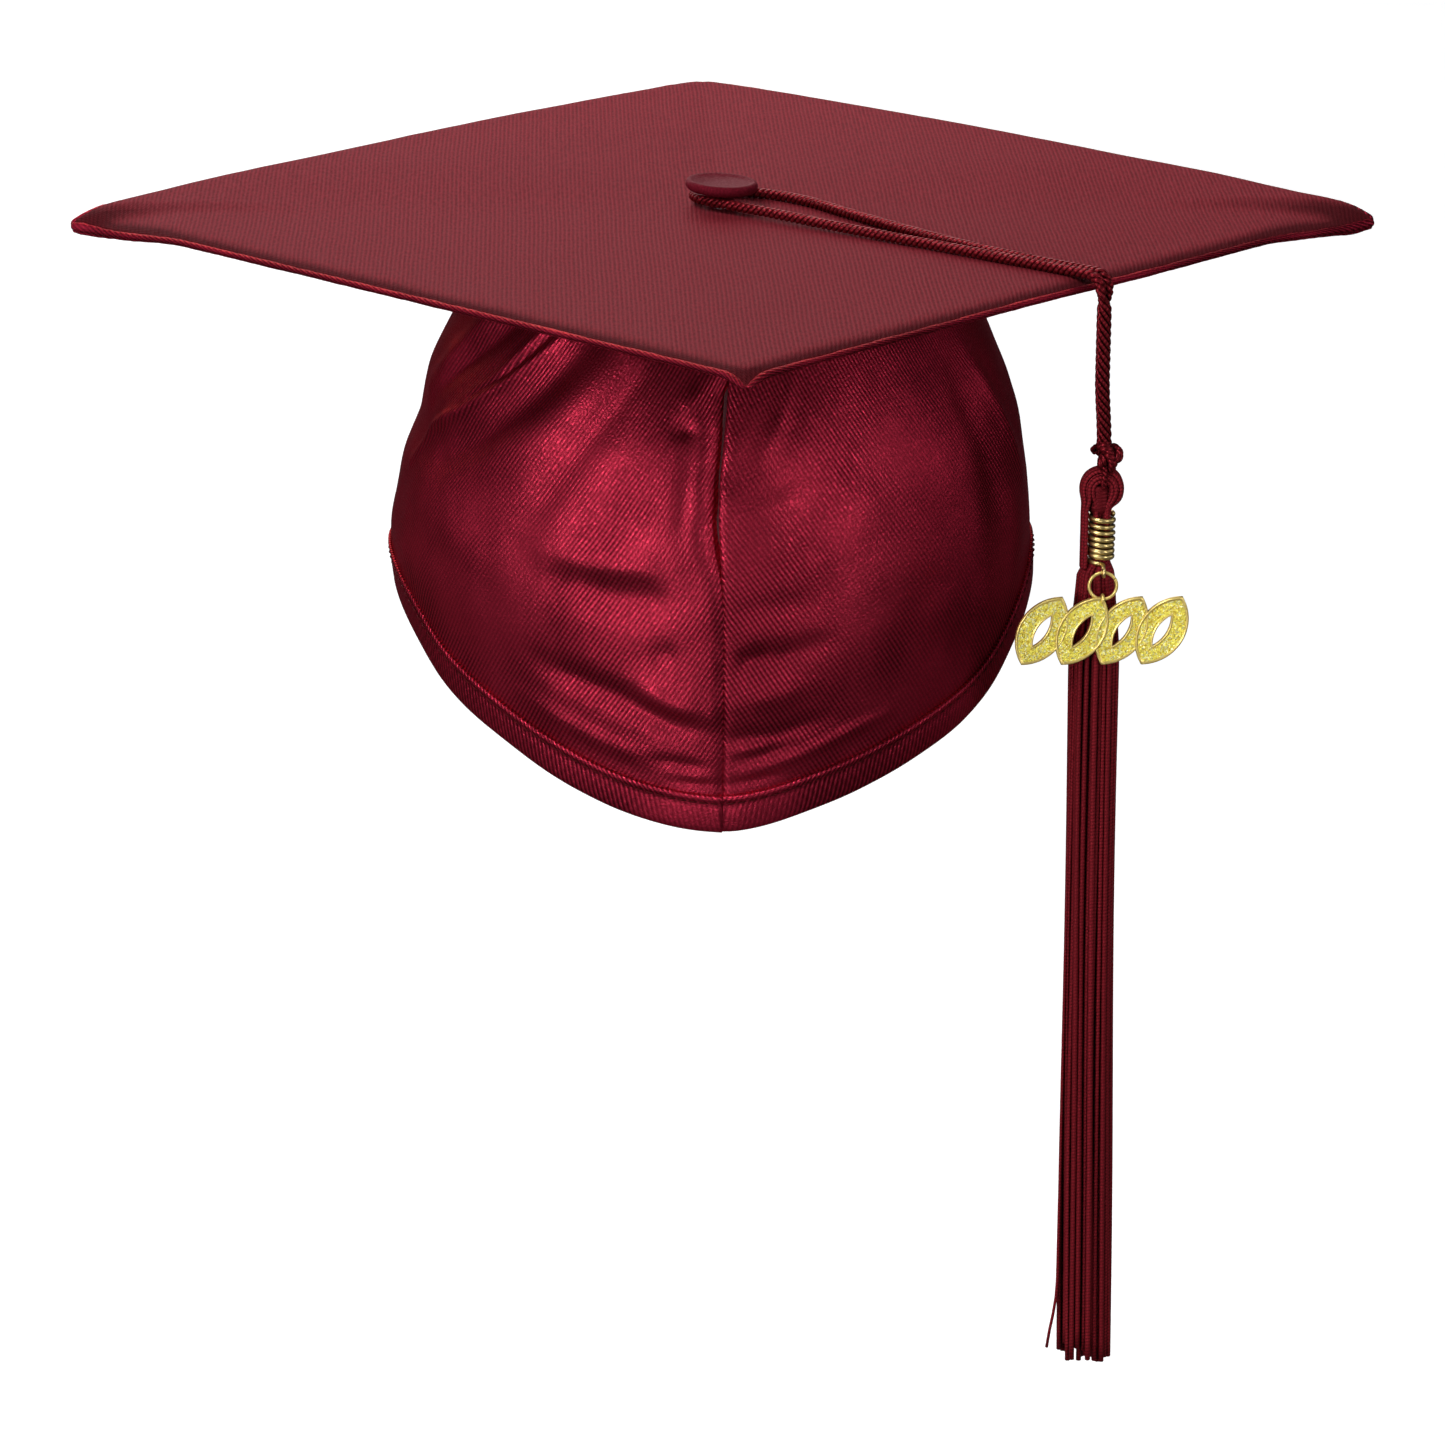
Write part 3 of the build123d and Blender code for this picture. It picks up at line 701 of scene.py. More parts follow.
def make_piping():
    """Padded piping round the edge: a main bead over a small one, with a groove between them."""
    main = arc_points((1.0, PIPING_LOW + 1.25), 0.80, 115, -58, 13)
    small = arc_points((0.95, PIPING_LOW + 0.28), 0.34, 62, -90, 7)
    back = [(2.15, PIPING_LOW), (2.3, PIPING_LOW + 0.8), (2.0, PIPING_HIGH - 0.9)]
    rows = []
    for inset, z in main + small + back:
        ring = board_outline(inset)
        rows.append(np.column_stack([ring, np.full(len(ring), z)]))
    rows = np.array(rows).transpose(1, 0, 2)
    flat = rows * [1, 1, 0.2]
    center = np.column_stack([board_outline(1.2), np.full(len(rows), PIPING_LOW + 1.2)])[:, None]
    drift = rows - center
    crowded = 1 + 1.2 * bell(np.abs(center[..., 0]) - TIP, 14)
    wobble = rough(flat, 7, 3) * 0.10 + rough(flat, 2.2, 4) * 0.09 * crowded
    wobble -= 0.5 * corner_crease(rows[..., 0], rows[..., 1])
    low_share = np.clip((BOARD_TOP - rows[..., 2]) / (BOARD_TOP - BOARD_UNDER), 0, 1)
    rows += drift / np.linalg.norm(drift, axis=-1, keepdims=True) * wobble[..., None]
    rows = soften_tips(rows, low_share)
    shape = Shape()
    shape.ring(rows)
    shape.corners = [(u * 8.0, v) for u, v in shape.corners]    # the section is about 8 mm round
    shape.build("edge_piping_cloth", PIPING_FABRIC, "cap", "cap_satin", ["edge_piping"])


# ---- Skull cap -----------------------------------------------------------------------------------
WIDEST_Z = -85.4            # height where the cap is widest
CROWN_RISE = 118.0          # from there to where its sides would meet, without the board
TUCK_IN = 0.055             # share of its size that it loses 50 mm below its widest
HEM_SIDE_Z = -92.4          # height of the lower edge over the ears


def dome_share(z):
    """The cap's size at this height, as a share of its size at its widest."""
    above = np.sqrt(np.clip(1 - ((z - WIDEST_Z) / CROWN_RISE) ** 2, 0, 1))
    below = 1 - TUCK_IN * ((WIDEST_Z - z) / 50) ** 2
    return np.where(z > WIDEST_Z, above, below)


def hem_z(theta):
    """Height of the lower edge at this angle from the front or, past 90 degrees, from the back."""
    from_end = np.where(theta > math.pi / 2, math.pi - theta, np.abs(theta))
    drop = 0.85 * np.cos(theta) ** 2 + 0.15 * (1 - from_end / (math.pi / 2))
    return HEM_SIDE_Z - (HEM_SIDE_Z - HEM_PEAK_Z) * drop


def settle(points):
    """The soft cap hangs a little askew, towards the wearer's right, and its seam bows that way. Its
    right side narrows under the board, and its lower edge sags at both sides of the front."""
    x, y, z = points[..., 0], points[..., 1], points[..., 2]
    hangs = soft_step(-z / 25)
    x = x * (1 - 0.028 * soft_step((z + 50) / 30) * hangs + 0.006 * bell(z + 50, 20))
    bow = 1.1 * bell(z + 50, 16) * bell(x, 14) * (y < 0)
    lean = 0.2 + 1.5 * soft_step((-10 - z) / 40) + 0.3 * bell(z + 60, 22) - 0.7 * y / CAP_HALF_LENGTH
    x = x - hangs * lean - bow
    narrowing = 3.0 * bell(z + 48, 10) - 1.4 * bell(z + 80, 9)
    x = x + (x < 0) * narrowing * (x / CAP_HALF_WIDTH) ** 2
    turn = np.degrees(np.arctan2(x / CAP_HALF_WIDTH, -y / CAP_HALF_LENGTH))
    droop = 4.6 * bell(turn - 53, 17) + 2.0 * bell(turn + 57, 12) - 0.9 * bell(turn - 15, 10)
    z = z + 0.006 * x * soft_step(-z / 80) - droop * soft_step((-z - 58) / 38)
    return np.stack([x, y, z], -1)


def dome_point(theta, z, offset, side):
    """A point on the cap, this far outside its surface. side is 1 for the wearer's left."""
    share = dome_share(z)
    x = (CAP_HALF_WIDTH * share + offset) * np.sin(theta) * side
    y = -(CAP_HALF_LENGTH * share + offset) * np.cos(theta)
    return settle(np.stack([x, y, np.broadcast_to(z, x.shape)], -1))


# A fold is a soft ridge or valley on the cap. Each has its height (minus for a valley), its
# half-width, and the places it runs through: degrees round from the front seam, and height.
FOLDS_RIGHT_PANEL = (
    (-1.9, 4.5, (16, -14), (28, -38), (39, -62)),
    (2.3, 6.5, (24, -14), (36, -34), (48, -47), (58, -54)),
    (-3.0, 4.8, (30, -12), (42, -29), (52, -40), (64, -50)),
    (2.5, 1.7, (37, -10), (49, -25), (61, -37), (70, -44), (79, -57)),
    (-1.5, 1.3, (40, -11), (52, -26), (64, -38)),
    (1.7, 1.6, (43, -10), (55, -28), (66, -39)),
    (-2.4, 3.6, (49, -8), (60, -20), (68, -29), (75, -39)),
    (2.2, 4.0, (58, -6), (70, -22), (80, -36)),
    (-0.9, 2.2, (6, -36), (7, -58)),
    (1.3, 2.2, (6, -22), (9, -27)),
    (-1.5, 1.9, (6, -32), (10, -31)),
    (1.7, 3.6, (9, -64), (20, -65), (32, -64)),
    (-2.2, 4.8, (8, -73), (18, -73), (28, -71)),
    (-1.0, 3.0, (8, -86), (13, -88)),
    (1.8, 3.4, (3, -102), (9, -100), (15, -96)),
    (-2.3, 3.6, (2, -108), (9, -105), (18, -99), (34, -92)),
    (1.1, 2.6, (10, -116), (22, -111), (37, -102)),
    (-1.3, 1.7, (3, -117), (13, -115)),
    (-1.0, 1.3, (0, -122), (9, -121)),
    (1.0, 7.0, (44, -70), (60, -66)),
)
FOLDS_LEFT_PANEL = (
    (0.9, 2.0, (13, -20), (11.5, -27), (7, -38)),
    (1.1, 9.0, (8, -45), (12, -64)),
    (-0.9, 3.6, (2, -76), (14, -74)),
    (-2.6, 3.6, (2, -89), (9, -88)),
    (-0.8, 3.0, (9, -88), (19, -85)),
    (1.8, 4.2, (3, -99), (14, -97)),
    (-1.3, 2.6, (0, -109), (9, -109), (18, -106)),
    (0.8, 1.5, (2, -112.5), (8, -111)),
    (-0.9, 1.5, (2, -115.5), (12, -112.5)),
    (1.0, 1.6, (4, -118.5), (14, -115), (30, -106)),
    (-0.9, 1.4, (0, -122), (10, -120)),
    (-1.7, 6.0, (55, -24), (59, -48), (62, -72)),
    (1.4, 3.0, (63, -24), (69, -44), (74, -60)),
    (0.8, 8.0, (36, -40), (40, -80)),
)
FOLDS_BACK = (
    (2.0, 4.6, (176, -10), (166, -34), (150, -58)),
    (-1.8, 4.6, (168, -6), (152, -30), (136, -52)),
    (1.9, 3.6, (152, -4), (136, -24), (116, -44)),
    (-1.5, 5.0, (130, -4), (116, -34), (104, -62)),
    (-1.8, 4.6, (176, -76), (162, -77), (146, -73)),
    (1.5, 4.0, (174, -96), (150, -88)),
    (1.2, 6.0, (118, -74), (150, -82)),
)
ROUND_MM = 0.95 * CAP_HALF_WIDTH        # millimetres round the cap in one radian
FOLD_STRENGTH = 0.72                    # the share of those heights that the padded fabric shows


def fold_heights(theta, z, folds):
    """The sum of the folds at each place, in millimetres."""
    total = np.zeros(theta.shape)
    for height, width, *places in folds:
        knots = np.array([(math.radians(angle) * ROUND_MM, level) for angle, level in places])
        lengths = lengths_along(knots)
        nearest = np.full(theta.shape, 1e9)
        along = np.zeros(theta.shape)
        for a, b, start in zip(knots[:-1], knots[1:], lengths):
            step = b - a
            size = np.linalg.norm(step)
            t = ((theta * ROUND_MM - a[0]) * step[0] + (z - a[1]) * step[1]) / size
            t = np.clip(t, 0, size)
            away = np.hypot(theta * ROUND_MM - a[0] - step[0] * t / size, z - a[1] - step[1] * t / size)
            closer = away < nearest
            nearest = np.where(closer, away, nearest)
            along = np.where(closer, start + t, along)
        rise = soft_step(along / (0.25 * lengths[-1]))
        fall = soft_step((lengths[-1] - along) / (0.3 * lengths[-1]))
        total += height * (0.35 + 0.65 * rise * fall) * bell(nearest, width)
    return FOLD_STRENGTH * total


def gathers(theta, start, height, pitch):
    """Gathers drawn up by the elastic, from this angle round to the back."""
    return soft_step((theta - start) / 0.5) * height * np.sin(theta * CAP_HALF_WIDTH / pitch * 2 * math.pi)


def seam_depth(from_seam, z, side):
    """How far the centre seam draws the fabric in. The wearer's right panel tucks under the left
    one, deepest in the upper half, where the seam gapes."""
    gape = soft_step((z + 70) / 12) * soft_step((-18 - z) / 6)
    pucker = 0.22 * np.sin(z / 2.9 + 1.7 * np.sin(z / 7.3)) * bell(from_seam - 3.2, 2.6)
    near = np.clip(from_seam, 0, None)
    if side > 0:
        return pucker - 0.5 * bell(near, 1.0)
    return pucker - 1.0 * bell(near, 1.3) - gape * 1.9 * bell(near, 3.8)


def panel_height(theta, z, side, points):
    """How far the fabric stands off the cap's plain surface."""
    folds = FOLDS_LEFT_PANEL if side > 0 else FOLDS_RIGHT_PANEL
    height = fold_heights(theta, z, folds + FOLDS_BACK)
    height += rough(points * [1, 1, 0.7], 34, 5 + side) * 0.65
    height += rough(points, 12, 8 + side) * 0.30
    height += seam_depth(theta * CAP_HALF_WIDTH, z, side)
    height += seam_depth((math.pi - theta) * CAP_HALF_WIDTH, z + 3, side)
    above_band = z - hem_z(theta) - BAND_HEIGHT
    height += gathers(theta, 1.9, 0.8, 6.5) * np.exp(-np.clip(above_band, 0, None) / 9)
    height *= soft_step((above_band + 1) / 5) * 0.75 + 0.25
    return height * soft_step((CROWN_OUTER - z) / 9)


PANEL_THICKNESS = 0.8       # the fabric and its lining
PANEL_COLUMNS = 230
PANEL_ROWS = 150

# The hem band's section: height above the cap's lower edge, and how far it stands off the cap.
BAND_SECTION = ((0.35, -0.9), (0.0, -0.3), (0.05, 0.25), (0.6, 0.62), (2.0, 0.75), (4.5, 0.72), (7.0, 0.62),
                (8.3, 0.30), (9.0, 0.78), (9.7, 0.98), (10.3, 0.5), (10.2, -0.5), (9.6, -1.1), (7.0, -1.2),
                (4.0, -1.2), (1.6, -1.15))
STITCH_LINE = 8.3           # the hem stitches run at this height above the lower edge


def make_panel(side, name, node):
    """Half of the skull cap: the crown under the board, and the side down to the hem band. Its two
    edges turn inwards at the centre seams, the wearer's right one under the left one."""
    turned_in = np.array([4.6, 2.6, 1.0]) if side > 0 else np.array([1.4, 0.8, 0.3])
    tucked = np.zeros(3) if side > 0 else np.array([0.040, 0.024, 0.009])
    theta = np.linspace(0, math.pi, PANEL_COLUMNS)
    theta = np.concatenate([-tucked, theta, math.pi + tucked[::-1]])[None, :]
    inset = np.concatenate([turned_in, np.zeros(PANEL_COLUMNS), turned_in[::-1]])[None, :]
    share = np.linspace(0, 1, PANEL_ROWS)[:, None]
    top = CROWN_OUTER - 0.06
    z = top - (top - hem_z(theta) - BAND_HEIGHT + 1.2) * share
    theta = theta + 0 * z
    height = panel_height(theta, z, side, dome_point(theta, z, 0.0, side)) - inset * soft_step(-z / 12)
    below_top = np.clip((CROWN_OUTER - z) / 2.2, 0, 1)
    offset = height - 0.45 - 1.6 * (1 - np.sqrt(1 - (1 - below_top) ** 2))
    outer = dome_point(theta, z, offset, side)
    thickness = PANEL_THICKNESS * np.where(inset > 0, 0.5, 1.0)
    inner = dome_point(theta, np.minimum(z, CROWN_INNER + 0.02), offset - thickness, side)
    inner[..., 0] += side * 0.35 * (inset > 0)
    crown = np.array([0.02, 0.15, 0.3, 0.45, 0.6, 0.75, 0.88, 0.96])[:, None, None]
    outer = np.concatenate([outer[:1] * [1, 1, 0] * crown + UP * top, outer])
    inner = np.concatenate([inner[:1] * [1, 1, 0] * crown + UP * CROWN_INNER, inner])
    shape = Shape()
    shape.shell(outer, inner, theta[:1] * MEAN_RADIUS + np.zeros((len(outer), 1)), outer[..., 2])
    shape.build(name, SATIN, "cap", "cap_satin", [node])


def make_band(side, name, node):
    """Folded hem band: rounded lower edge, and a raised upper edge where it is stitched down."""
    tuck = 0.016 if side > 0 else -0.002
    theta = np.linspace(-tuck, math.pi + tuck, 240)
    under = 0.55 * bell(theta * CAP_HALF_WIDTH, 2.2)
    under += 0.55 * bell((math.pi - theta) * CAP_HALF_WIDTH, 2.2)
    lift = -under if side > 0 else 0.35 * under
    lift = lift + gathers(theta, 1.8, 0.7, 5.5)
    rows = []
    for height, offset in BAND_SECTION:
        ease = 0.3 * rough(np.stack([theta * 60, 0 * theta + height, 0 * theta + 9 * side], -1), 9, 12)
        proud = max(offset, 0) * 0.7 * np.sin(np.clip(theta, 0, math.pi / 2)) ** 4
        rows.append(dome_point(theta, hem_z(theta) + height, offset + lift + ease - proud, side))
    grid = np.array(rows).transpose(1, 0, 2)
    across = lengths_along(grid[0])[-1]
    shape = Shape()
    shape.tube(grid, lengths_along(grid[:, 4]))
    shape.corners = [(v, u * across) for u, v in shape.corners]     # u runs along the band
    shape.build(name, BAND_FABRIC, "cap", "cap_satin", [node])


def stitch(shape, start, end, normal, radius=0.24, lift=0.28, tone_and_shade=0.5):
    """Adds one stitch: a short thread that rises out of the fabric and dives back in."""
    t = np.linspace(0, 1, 6)[:, None]
    path = start + (end - start) * t + normal * (np.sin(t * math.pi) * (lift + radius) - radius)
    thickness = radius * (0.75 + 0.25 * np.sin(t[:, 0] * math.pi))
    shape.strand(path, thickness, 6, tone_and_shade, start=normal)


def surface_normal(theta, z, side):
    """The direction straight out of the cap."""
    out = dome_point(theta, z, 1.0, side) - dome_point(theta, z, 0.0, side)
    return out / np.linalg.norm(out, axis=-1, keepdims=True)


def make_hem_stitching():
    """A row of stitches along the top of the hem band."""
    shape = Shape()
    step = 3.1 / MEAN_RADIUS
    for side in (1, -1):
        for start in np.arange(0.012, math.pi - step, step):
            ends = np.array([start, start + step * 0.78])
            z = hem_z(ends) + STITCH_LINE
            a, b = dome_point(ends, z, 0.36 - 0.25 * math.sin(min(start, math.pi / 2)) ** 4, side)
            normal = surface_normal(ends, z, side)[0]
            lift = normal * gathers(start, 1.8, 0.7, 5.5)
            stitch(shape, a + lift, b + lift, normal, tone_and_shade=RANDOM.uniform(0.4, 0.9))
    shape.build("hem_stitching_thread", THREAD, "cap", "thread", ["hem_stitching"])


CROWN_STITCHES = 96


def make_crown_stitching():
    """Stitches under the crown, in an oval, that hold it to the board."""
    half_width, half_length, _ = cad_box("crown_stitching")[1] - 0.3
    shape = Shape()
    for k in range(CROWN_STITCHES):
        a, b = (np.array([half_width * math.cos(t), half_length * math.sin(t), CROWN_INNER - 0.05])
                for t in np.array([k, k + 0.72]) * 2 * math.pi / CROWN_STITCHES)
        stitch(shape, a, b, -UP, radius=0.28, lift=0.3, tone_and_shade=RANDOM.uniform(0.4, 0.9))
    shape.build("crown_stitching_thread", THREAD, "cap", "thread", ["crown_stitching"])


def build_strip(theta, from_z, to_z, rows, offset, thickness, where, wave=0.0):
    """Makes a thin strip on the inside of the cap, between two heights."""
    z = from_z + (to_z - from_z) * np.linspace(0, 1, rows)[:, None]
    theta = theta[None, :] + 0 * z
    ripple = wave * np.sin(theta * CAP_HALF_WIDTH / 5.5 * 2 * math.pi)
    outer = dome_point(theta, z, offset + ripple, 1)
    inner = dome_point(theta, z, offset - thickness + ripple, 1)
    shape = Shape()
    shape.shell(outer, inner, theta * MEAN_RADIUS, z)
    shape.build(*where)


def make_linings():
    """Elastic, seam tapes and care label, inside the cap."""
    theta = np.linspace(math.radians(118), math.radians(242), 240)
    hem = hem_z(np.where(theta > math.pi, 2 * math.pi - theta, theta))
    build_strip(theta, hem + 9, hem + 1, 12, -1.35, 0.9,
                ("elastic_band_webbing", ELASTIC, "cap", "elastic", ["elastic_band"]), wave=0.6)

    half = 6 / CAP_HALF_LENGTH
    for node, middle in (("seam_tape_front", 0.0), ("seam_tape_back", math.pi)):
        theta = np.linspace(middle - half, middle + half, 14)
        build_strip(theta, -5.0, HEM_PEAK_Z + BAND_HEIGHT + 1.5, 70, -3.1, 0.5,
                    (node + "_weave", TAPE, "cap", "cap_tape", [node]))

    low, high = cad_box("care_label")
    edges = [math.pi - math.asin(min(1.0, x / (CAP_HALF_WIDTH * 0.97))) for x in (low[0], high[0])]
    theta = np.linspace(edges[0], edges[1], 30)
    hem = hem_z(theta)
    build_strip(theta, hem + 28, hem + 11, 18, -2.6, 0.35,
                ("care_label_cloth", LABEL, "cap", "label", ["care_label"]))


def lathe(profile, columns, ripple=None):
    """Rings of a turned profile; each profile point is (radius, z). ripple adds to the radius."""
    angle = np.linspace(0, 2 * math.pi, columns, endpoint=False)
    rows = []
    for radius, z in profile:
        r = np.full(columns, max(radius, 1e-4))
        if ripple is not None:
            r = r + ripple(radius, z, angle)
        rows.append(np.stack([r * np.cos(angle), r * np.sin(angle), np.full(columns, z)], -1))
    return np.array(rows)


def make_crown_pad():
    """Felt pad inside the crown, with pinked edges."""
    low, high = cad_box("crown_pad")
    radius, top = high[0], high[2]
    profile = [(0, low[2])] + [(r, low[2]) for r in spread(2, radius - 1.0, 24)]
    profile += [(radius - 0.3, 0.3), (radius, 0.8), (radius - 0.1, 1.5), (radius - 0.6, top - 0.05)]
    profile += [(r, top - 0.05) for r in spread(radius - 2, 8.0, 6)] + [(7.5, 0.8), (0, 0.8)]
    rows = lathe(profile, 96, lambda r, z, angle: 0.25 * np.sin(angle * 40) * (r > radius - 1))
    build_disc(rows, "crown_pad_felt", FELT, "cap", "felt", ["crown_pad"])


# ---- Button --------------------------------------------------------------------------------------
BUTTON_TILT = math.radians(3.0)


def tilt_button(rows):
    """Tips the button's flat part towards the wearer's left. Its neck stays upright."""
    radius = np.hypot(rows[..., 0], rows[..., 1])
    rows[..., 2] -= rows[..., 0] * math.sin(BUTTON_TILT) * soft_step((radius - 3.5) / 4)


def make_button():
    """Covered button: dished top, rounded shiny rim, and fabric gathered underneath round the neck."""
    r, low, top = BUTTON_RADIUS, BUTTON_LOW, BUTTON_TOP
    dish = [(0, top - 1.0)] + [(x, top - 1.0 + 0.55 * (x / 7.2) ** 3) for x in spread(0.8, 6.9, 10)]
    rim = [(7.4, top - 0.36), (7.9, top - 0.12), (8.4, top), (8.85, top - 0.08), (9.2, top - 0.4),
           (r, top - 0.95), (r, top - 1.5), (r - 0.25, top - 2.1), (r - 0.75, top - 2.6)]
    underneath = [(r - 1.5, low + 0.02), (r - 2.6, low - 0.02), (5.5, low), (3.9, low - 0.05),
                  (3.15, low - 0.5), (2.95, low - 1.6), (3.2, low - 3.0), (3.4, low - 3.9)]
    inside = [(2.75, low - 3.95), (2.7, low - 0.9), (3.6, low + 0.35), (r - 2.3, low + 0.45),
              (r - 1.0, low + 0.9), (r - 0.85, top - 1.4), (8.2, top - 0.9), (7, top - 1.3), (0, top - 1.5)]

    def pleats(_, z, angle):
        return (0.12 if z < low + 0.3 else 0.03) * np.sin(angle * 22 + 0.6 * np.sin(angle * 3))

    rows = lathe(dish + rim + underneath + inside, 104, pleats)
    angle = np.arctan2(rows[..., 1], rows[..., 0])
    rows[..., 2] += 0.08 * np.sin(angle * 22) * (rows[..., 2] < low + 0.3)
    tilt_button(rows)
    build_disc(rows, "button_cover_satin", BUTTON_FABRIC, "button", "button_satin", ["button_cover"])

    shell = [(0, top - 1.55), (6.5, top - 1.5), (7.6, top - 1.2), (8.3, top - 1.35), (8.4, top - 1.9),
             (8.05, top - 1.9), (7.9, top - 1.6), (7.4, top - 1.55), (6.4, top - 1.8), (0, top - 1.85)]
    rows = lathe(shell, 72)
    tilt_button(rows)
    build_disc(rows, "button_shell_pressed", ALUMINIUM, "button", "button_metal", ["button_shell"])


# ---- Cord ----------------------------------------------------------------------------------------
HEADING = BEND_START * [1, 1, 0]
RUN_LENGTH = np.linalg.norm(HEADING)
HEADING = HEADING / RUN_LENGTH
SIDEWAYS = np.array([-HEADING[1], HEADING[0], 0])
BEND_RADIUS = CORD_Z - HANG[2]
HANG_LINE = HANG * [1, 1, 0]
PAIR_GAP = 1.42             # half the distance between the two cords side by side
PLIES = 3
PLY_PITCH = 5.1             # length of one full twist of the plies in a cord
ROPE_RADIUS = 1.40          # centre lines of the six plies where the two cords twist into one
ROPE_PITCH = 13.0           # length of one full twist of the rope
SPLIT_Z = -13.0             # where the hanging cord is cut into its two pieces
CORD_STEP = 0.42            # distance between the rings of points along the cord
SHIFT = -1.3                # the cord crosses the edge, and hangs, a little towards the front

# The doubled cord on the board, from the button outwards: distance towards the edge, distance to
# the side, and height of its centre. The front run lifts under the button's rim; the back run
# bows away behind it.
FRONT_RUN = ((-9.6, 3.0, 7.6), (-8.2, -1.6, 7.9), (-4.0, -4.4, 8.05), (0, -5.0, 8.1), (8, -4.8, 8.0),
             (20, -3.9, 7.7), (36, -3.4, 7.3), (52, -3.2, 7.1), (75, -2.9, 7.05), (98, -2.75, 7.05))
BACK_RUN = ((-9.6, 3.0, 7.6), (-8.8, 7.0, 7.1), (-4.5, 11.6, 7.05), (2, 14.4, 7.05), (10, 15.4, 7.05),
            (20, 14.4, 7.05), (31, 11.6, 7.05), (45, 8.2, 7.05), (60, 5.0, 7.05), (75, 2.4, 7.05),
            (88, 0.9, 7.05), (100, 0.25, 7.05))


def smooth_curve(points, steps=14):
    """A smooth curve through all the points."""
    points = np.array(points, float)
    padded = np.concatenate([[2 * points[0] - points[1]], points, [2 * points[-1] - points[-2]]])
    pieces = []
    for k in range(len(points) - 1):
        a, b, c, d = padded[k:k + 4]
        t = np.linspace(0, 1, steps, endpoint=False)[:, None]
        pieces.append(0.5 * (2 * b + (c - a) * t + (2 * a - 5 * b + 4 * c - d) * t ** 2
                             + (3 * b - 3 * c + d - a) * t ** 3))
    return np.concatenate(pieces + [points[-1:]])


def cord_path(run, sign):
    """Centre line of one cord, from the loop behind the button, over the edge, down to the knot."""
    beside = sign * PAIR_GAP + SHIFT
    end = (RUN_LENGTH, beside, CORD_Z)
    before = (RUN_LENGTH - 5, beside, CORD_Z - 0.02)
    flat = smooth_curve(run + (before, end))
    over_board = flat[:, :1] * HEADING + flat[:, 1:2] * SIDEWAYS + flat[:, 2:] * UP
    angle = np.linspace(0, math.pi / 2, 14)[1:]
    bend = (BEND_START * [1, 1, 0] + OUT * (np.sin(angle) * BEND_RADIUS)[:, None]
            + ALONG * beside + UP * (HANG[2] + np.cos(angle) * BEND_RADIUS)[:, None])
    down = np.linspace(HANG[2], KNOT_TOP - 1.5, 90)[1:]
    drop = HANG_LINE + ALONG * beside + UP * down[:, None]
    return np.concatenate([over_board, bend, drop])


def rope_middle(z):
    """The middle of the hanging rope, which comes back over the knot at its lower end."""
    return HANG_LINE + ALONG * SHIFT * soft_step((z - KNOT_TOP) / 18) + UP * z


def cord_plies():
    """Centre line of the whole doubled cord, and of each of its plies."""
    there, back = cord_path(FRONT_RUN, -1), cord_path(BACK_RUN, 1)
    path = smooth_path(resample(np.concatenate([there[::-1], back[1:]]), CORD_STEP), 6)
    side, other = carried_frames(path, ALONG)
    run = lengths_along(path)
    below = np.clip(HANG[2] - path[:, 2], 0, None)
    blend = soft_step(below / 5)[:, None]
    rope_side = np.where(run < run[-1] / 2, math.pi, 0)
    plies = []
    for k in range(PLIES):
        angle = 2 * math.pi * (k / PLIES - run / PLY_PITCH)[:, None]
        in_cord = path + (side * np.cos(angle) + other * np.sin(angle)) * 0.54 * CORD_RADIUS
        angle = (rope_side + (k - 1) * math.pi / PLIES - below / ROPE_PITCH * 2 * math.pi)[:, None]
        in_rope = rope_middle(path[:, 2:]) + (ALONG * np.cos(angle) + OUT * np.sin(angle)) * ROPE_RADIUS
        plies.append(in_cord * (1 - blend) + in_rope * blend)
    return path, plies


def make_cords():
    """The doubled cord in three pieces, each one reaching across one joint."""
    path, plies = cord_plies()
    run = lengths_along(path)
    on_board = np.where(path[:, 2] > HANG[2] + 0.3 * BEND_RADIUS)[0]
    upper = np.where(path[:, 2] > SPLIT_Z)[0]
    last = len(path) - 1
    sections = (
        ("cord_over_board", [(on_board[0], on_board[-1])], None, ["tassel_cord_loop", "tassel_cord_bend"],
         ("cord_run", "cord_bend", BEND_START - OUT * 6, BEND_START + OUT * 1.5)),
        ("cord_hanging_upper", [(upper[0], on_board[0]), (on_board[-1], upper[-1])],
         (HANG[2] - 3, SPLIT_Z), ["tassel_cord_drop"],
         ("cord_bend", "cord_drop", HANG + UP * 1.6, HANG - UP * 5)),
        ("cord_hanging_lower", [(0, upper[0]), (upper[-1], last)], (SPLIT_Z, KNOT_TOP - 1), [],
         ("cord_drop", "knot", HANG_LINE + UP * (SPLIT_Z - 1), HANG_LINE + UP * KNOT_TOP)),
    )
    radius = CORD_RADIUS * (0.455 - 0.100 * soft_step((HANG[2] - path[:, 2]) / 5))
    for name, spans, core_ends, nodes, bodies in sections:
        shape = Shape()
        for ply in plies:
            rows = rings(ply, radius, 9, start=ALONG)
            for first, end in spans:
                shape.tube(rows[first:end + 1], run[first:end + 1], 0.9)
        # A core drawn at the darkest tone: painted shade that shows in the gaps between the plies.
        if core_ends:
            core = rope_middle(np.linspace(*core_ends, 24)[:, None])
            shape.strand(core, 0.85, 8, 0.0, start=ALONG)
        shape.build(name, CORD_YARN, bodies, "cord_rayon", nodes)


HEAD_MAJOR = 3.5                # the cord's end loop, which the tassel's head is folded over
KNOT_LOW = HEAD_Z + HEAD_MAJOR + 2.4
HOLE, HEAD_REACH = 0.6, 5.8     # inner and outer strands of the head, from the middle of its hole


def hang(path):
    """Moves a path from the middle of the frame to where the tassel hangs."""
    return np.asarray(path) + HANG_LINE


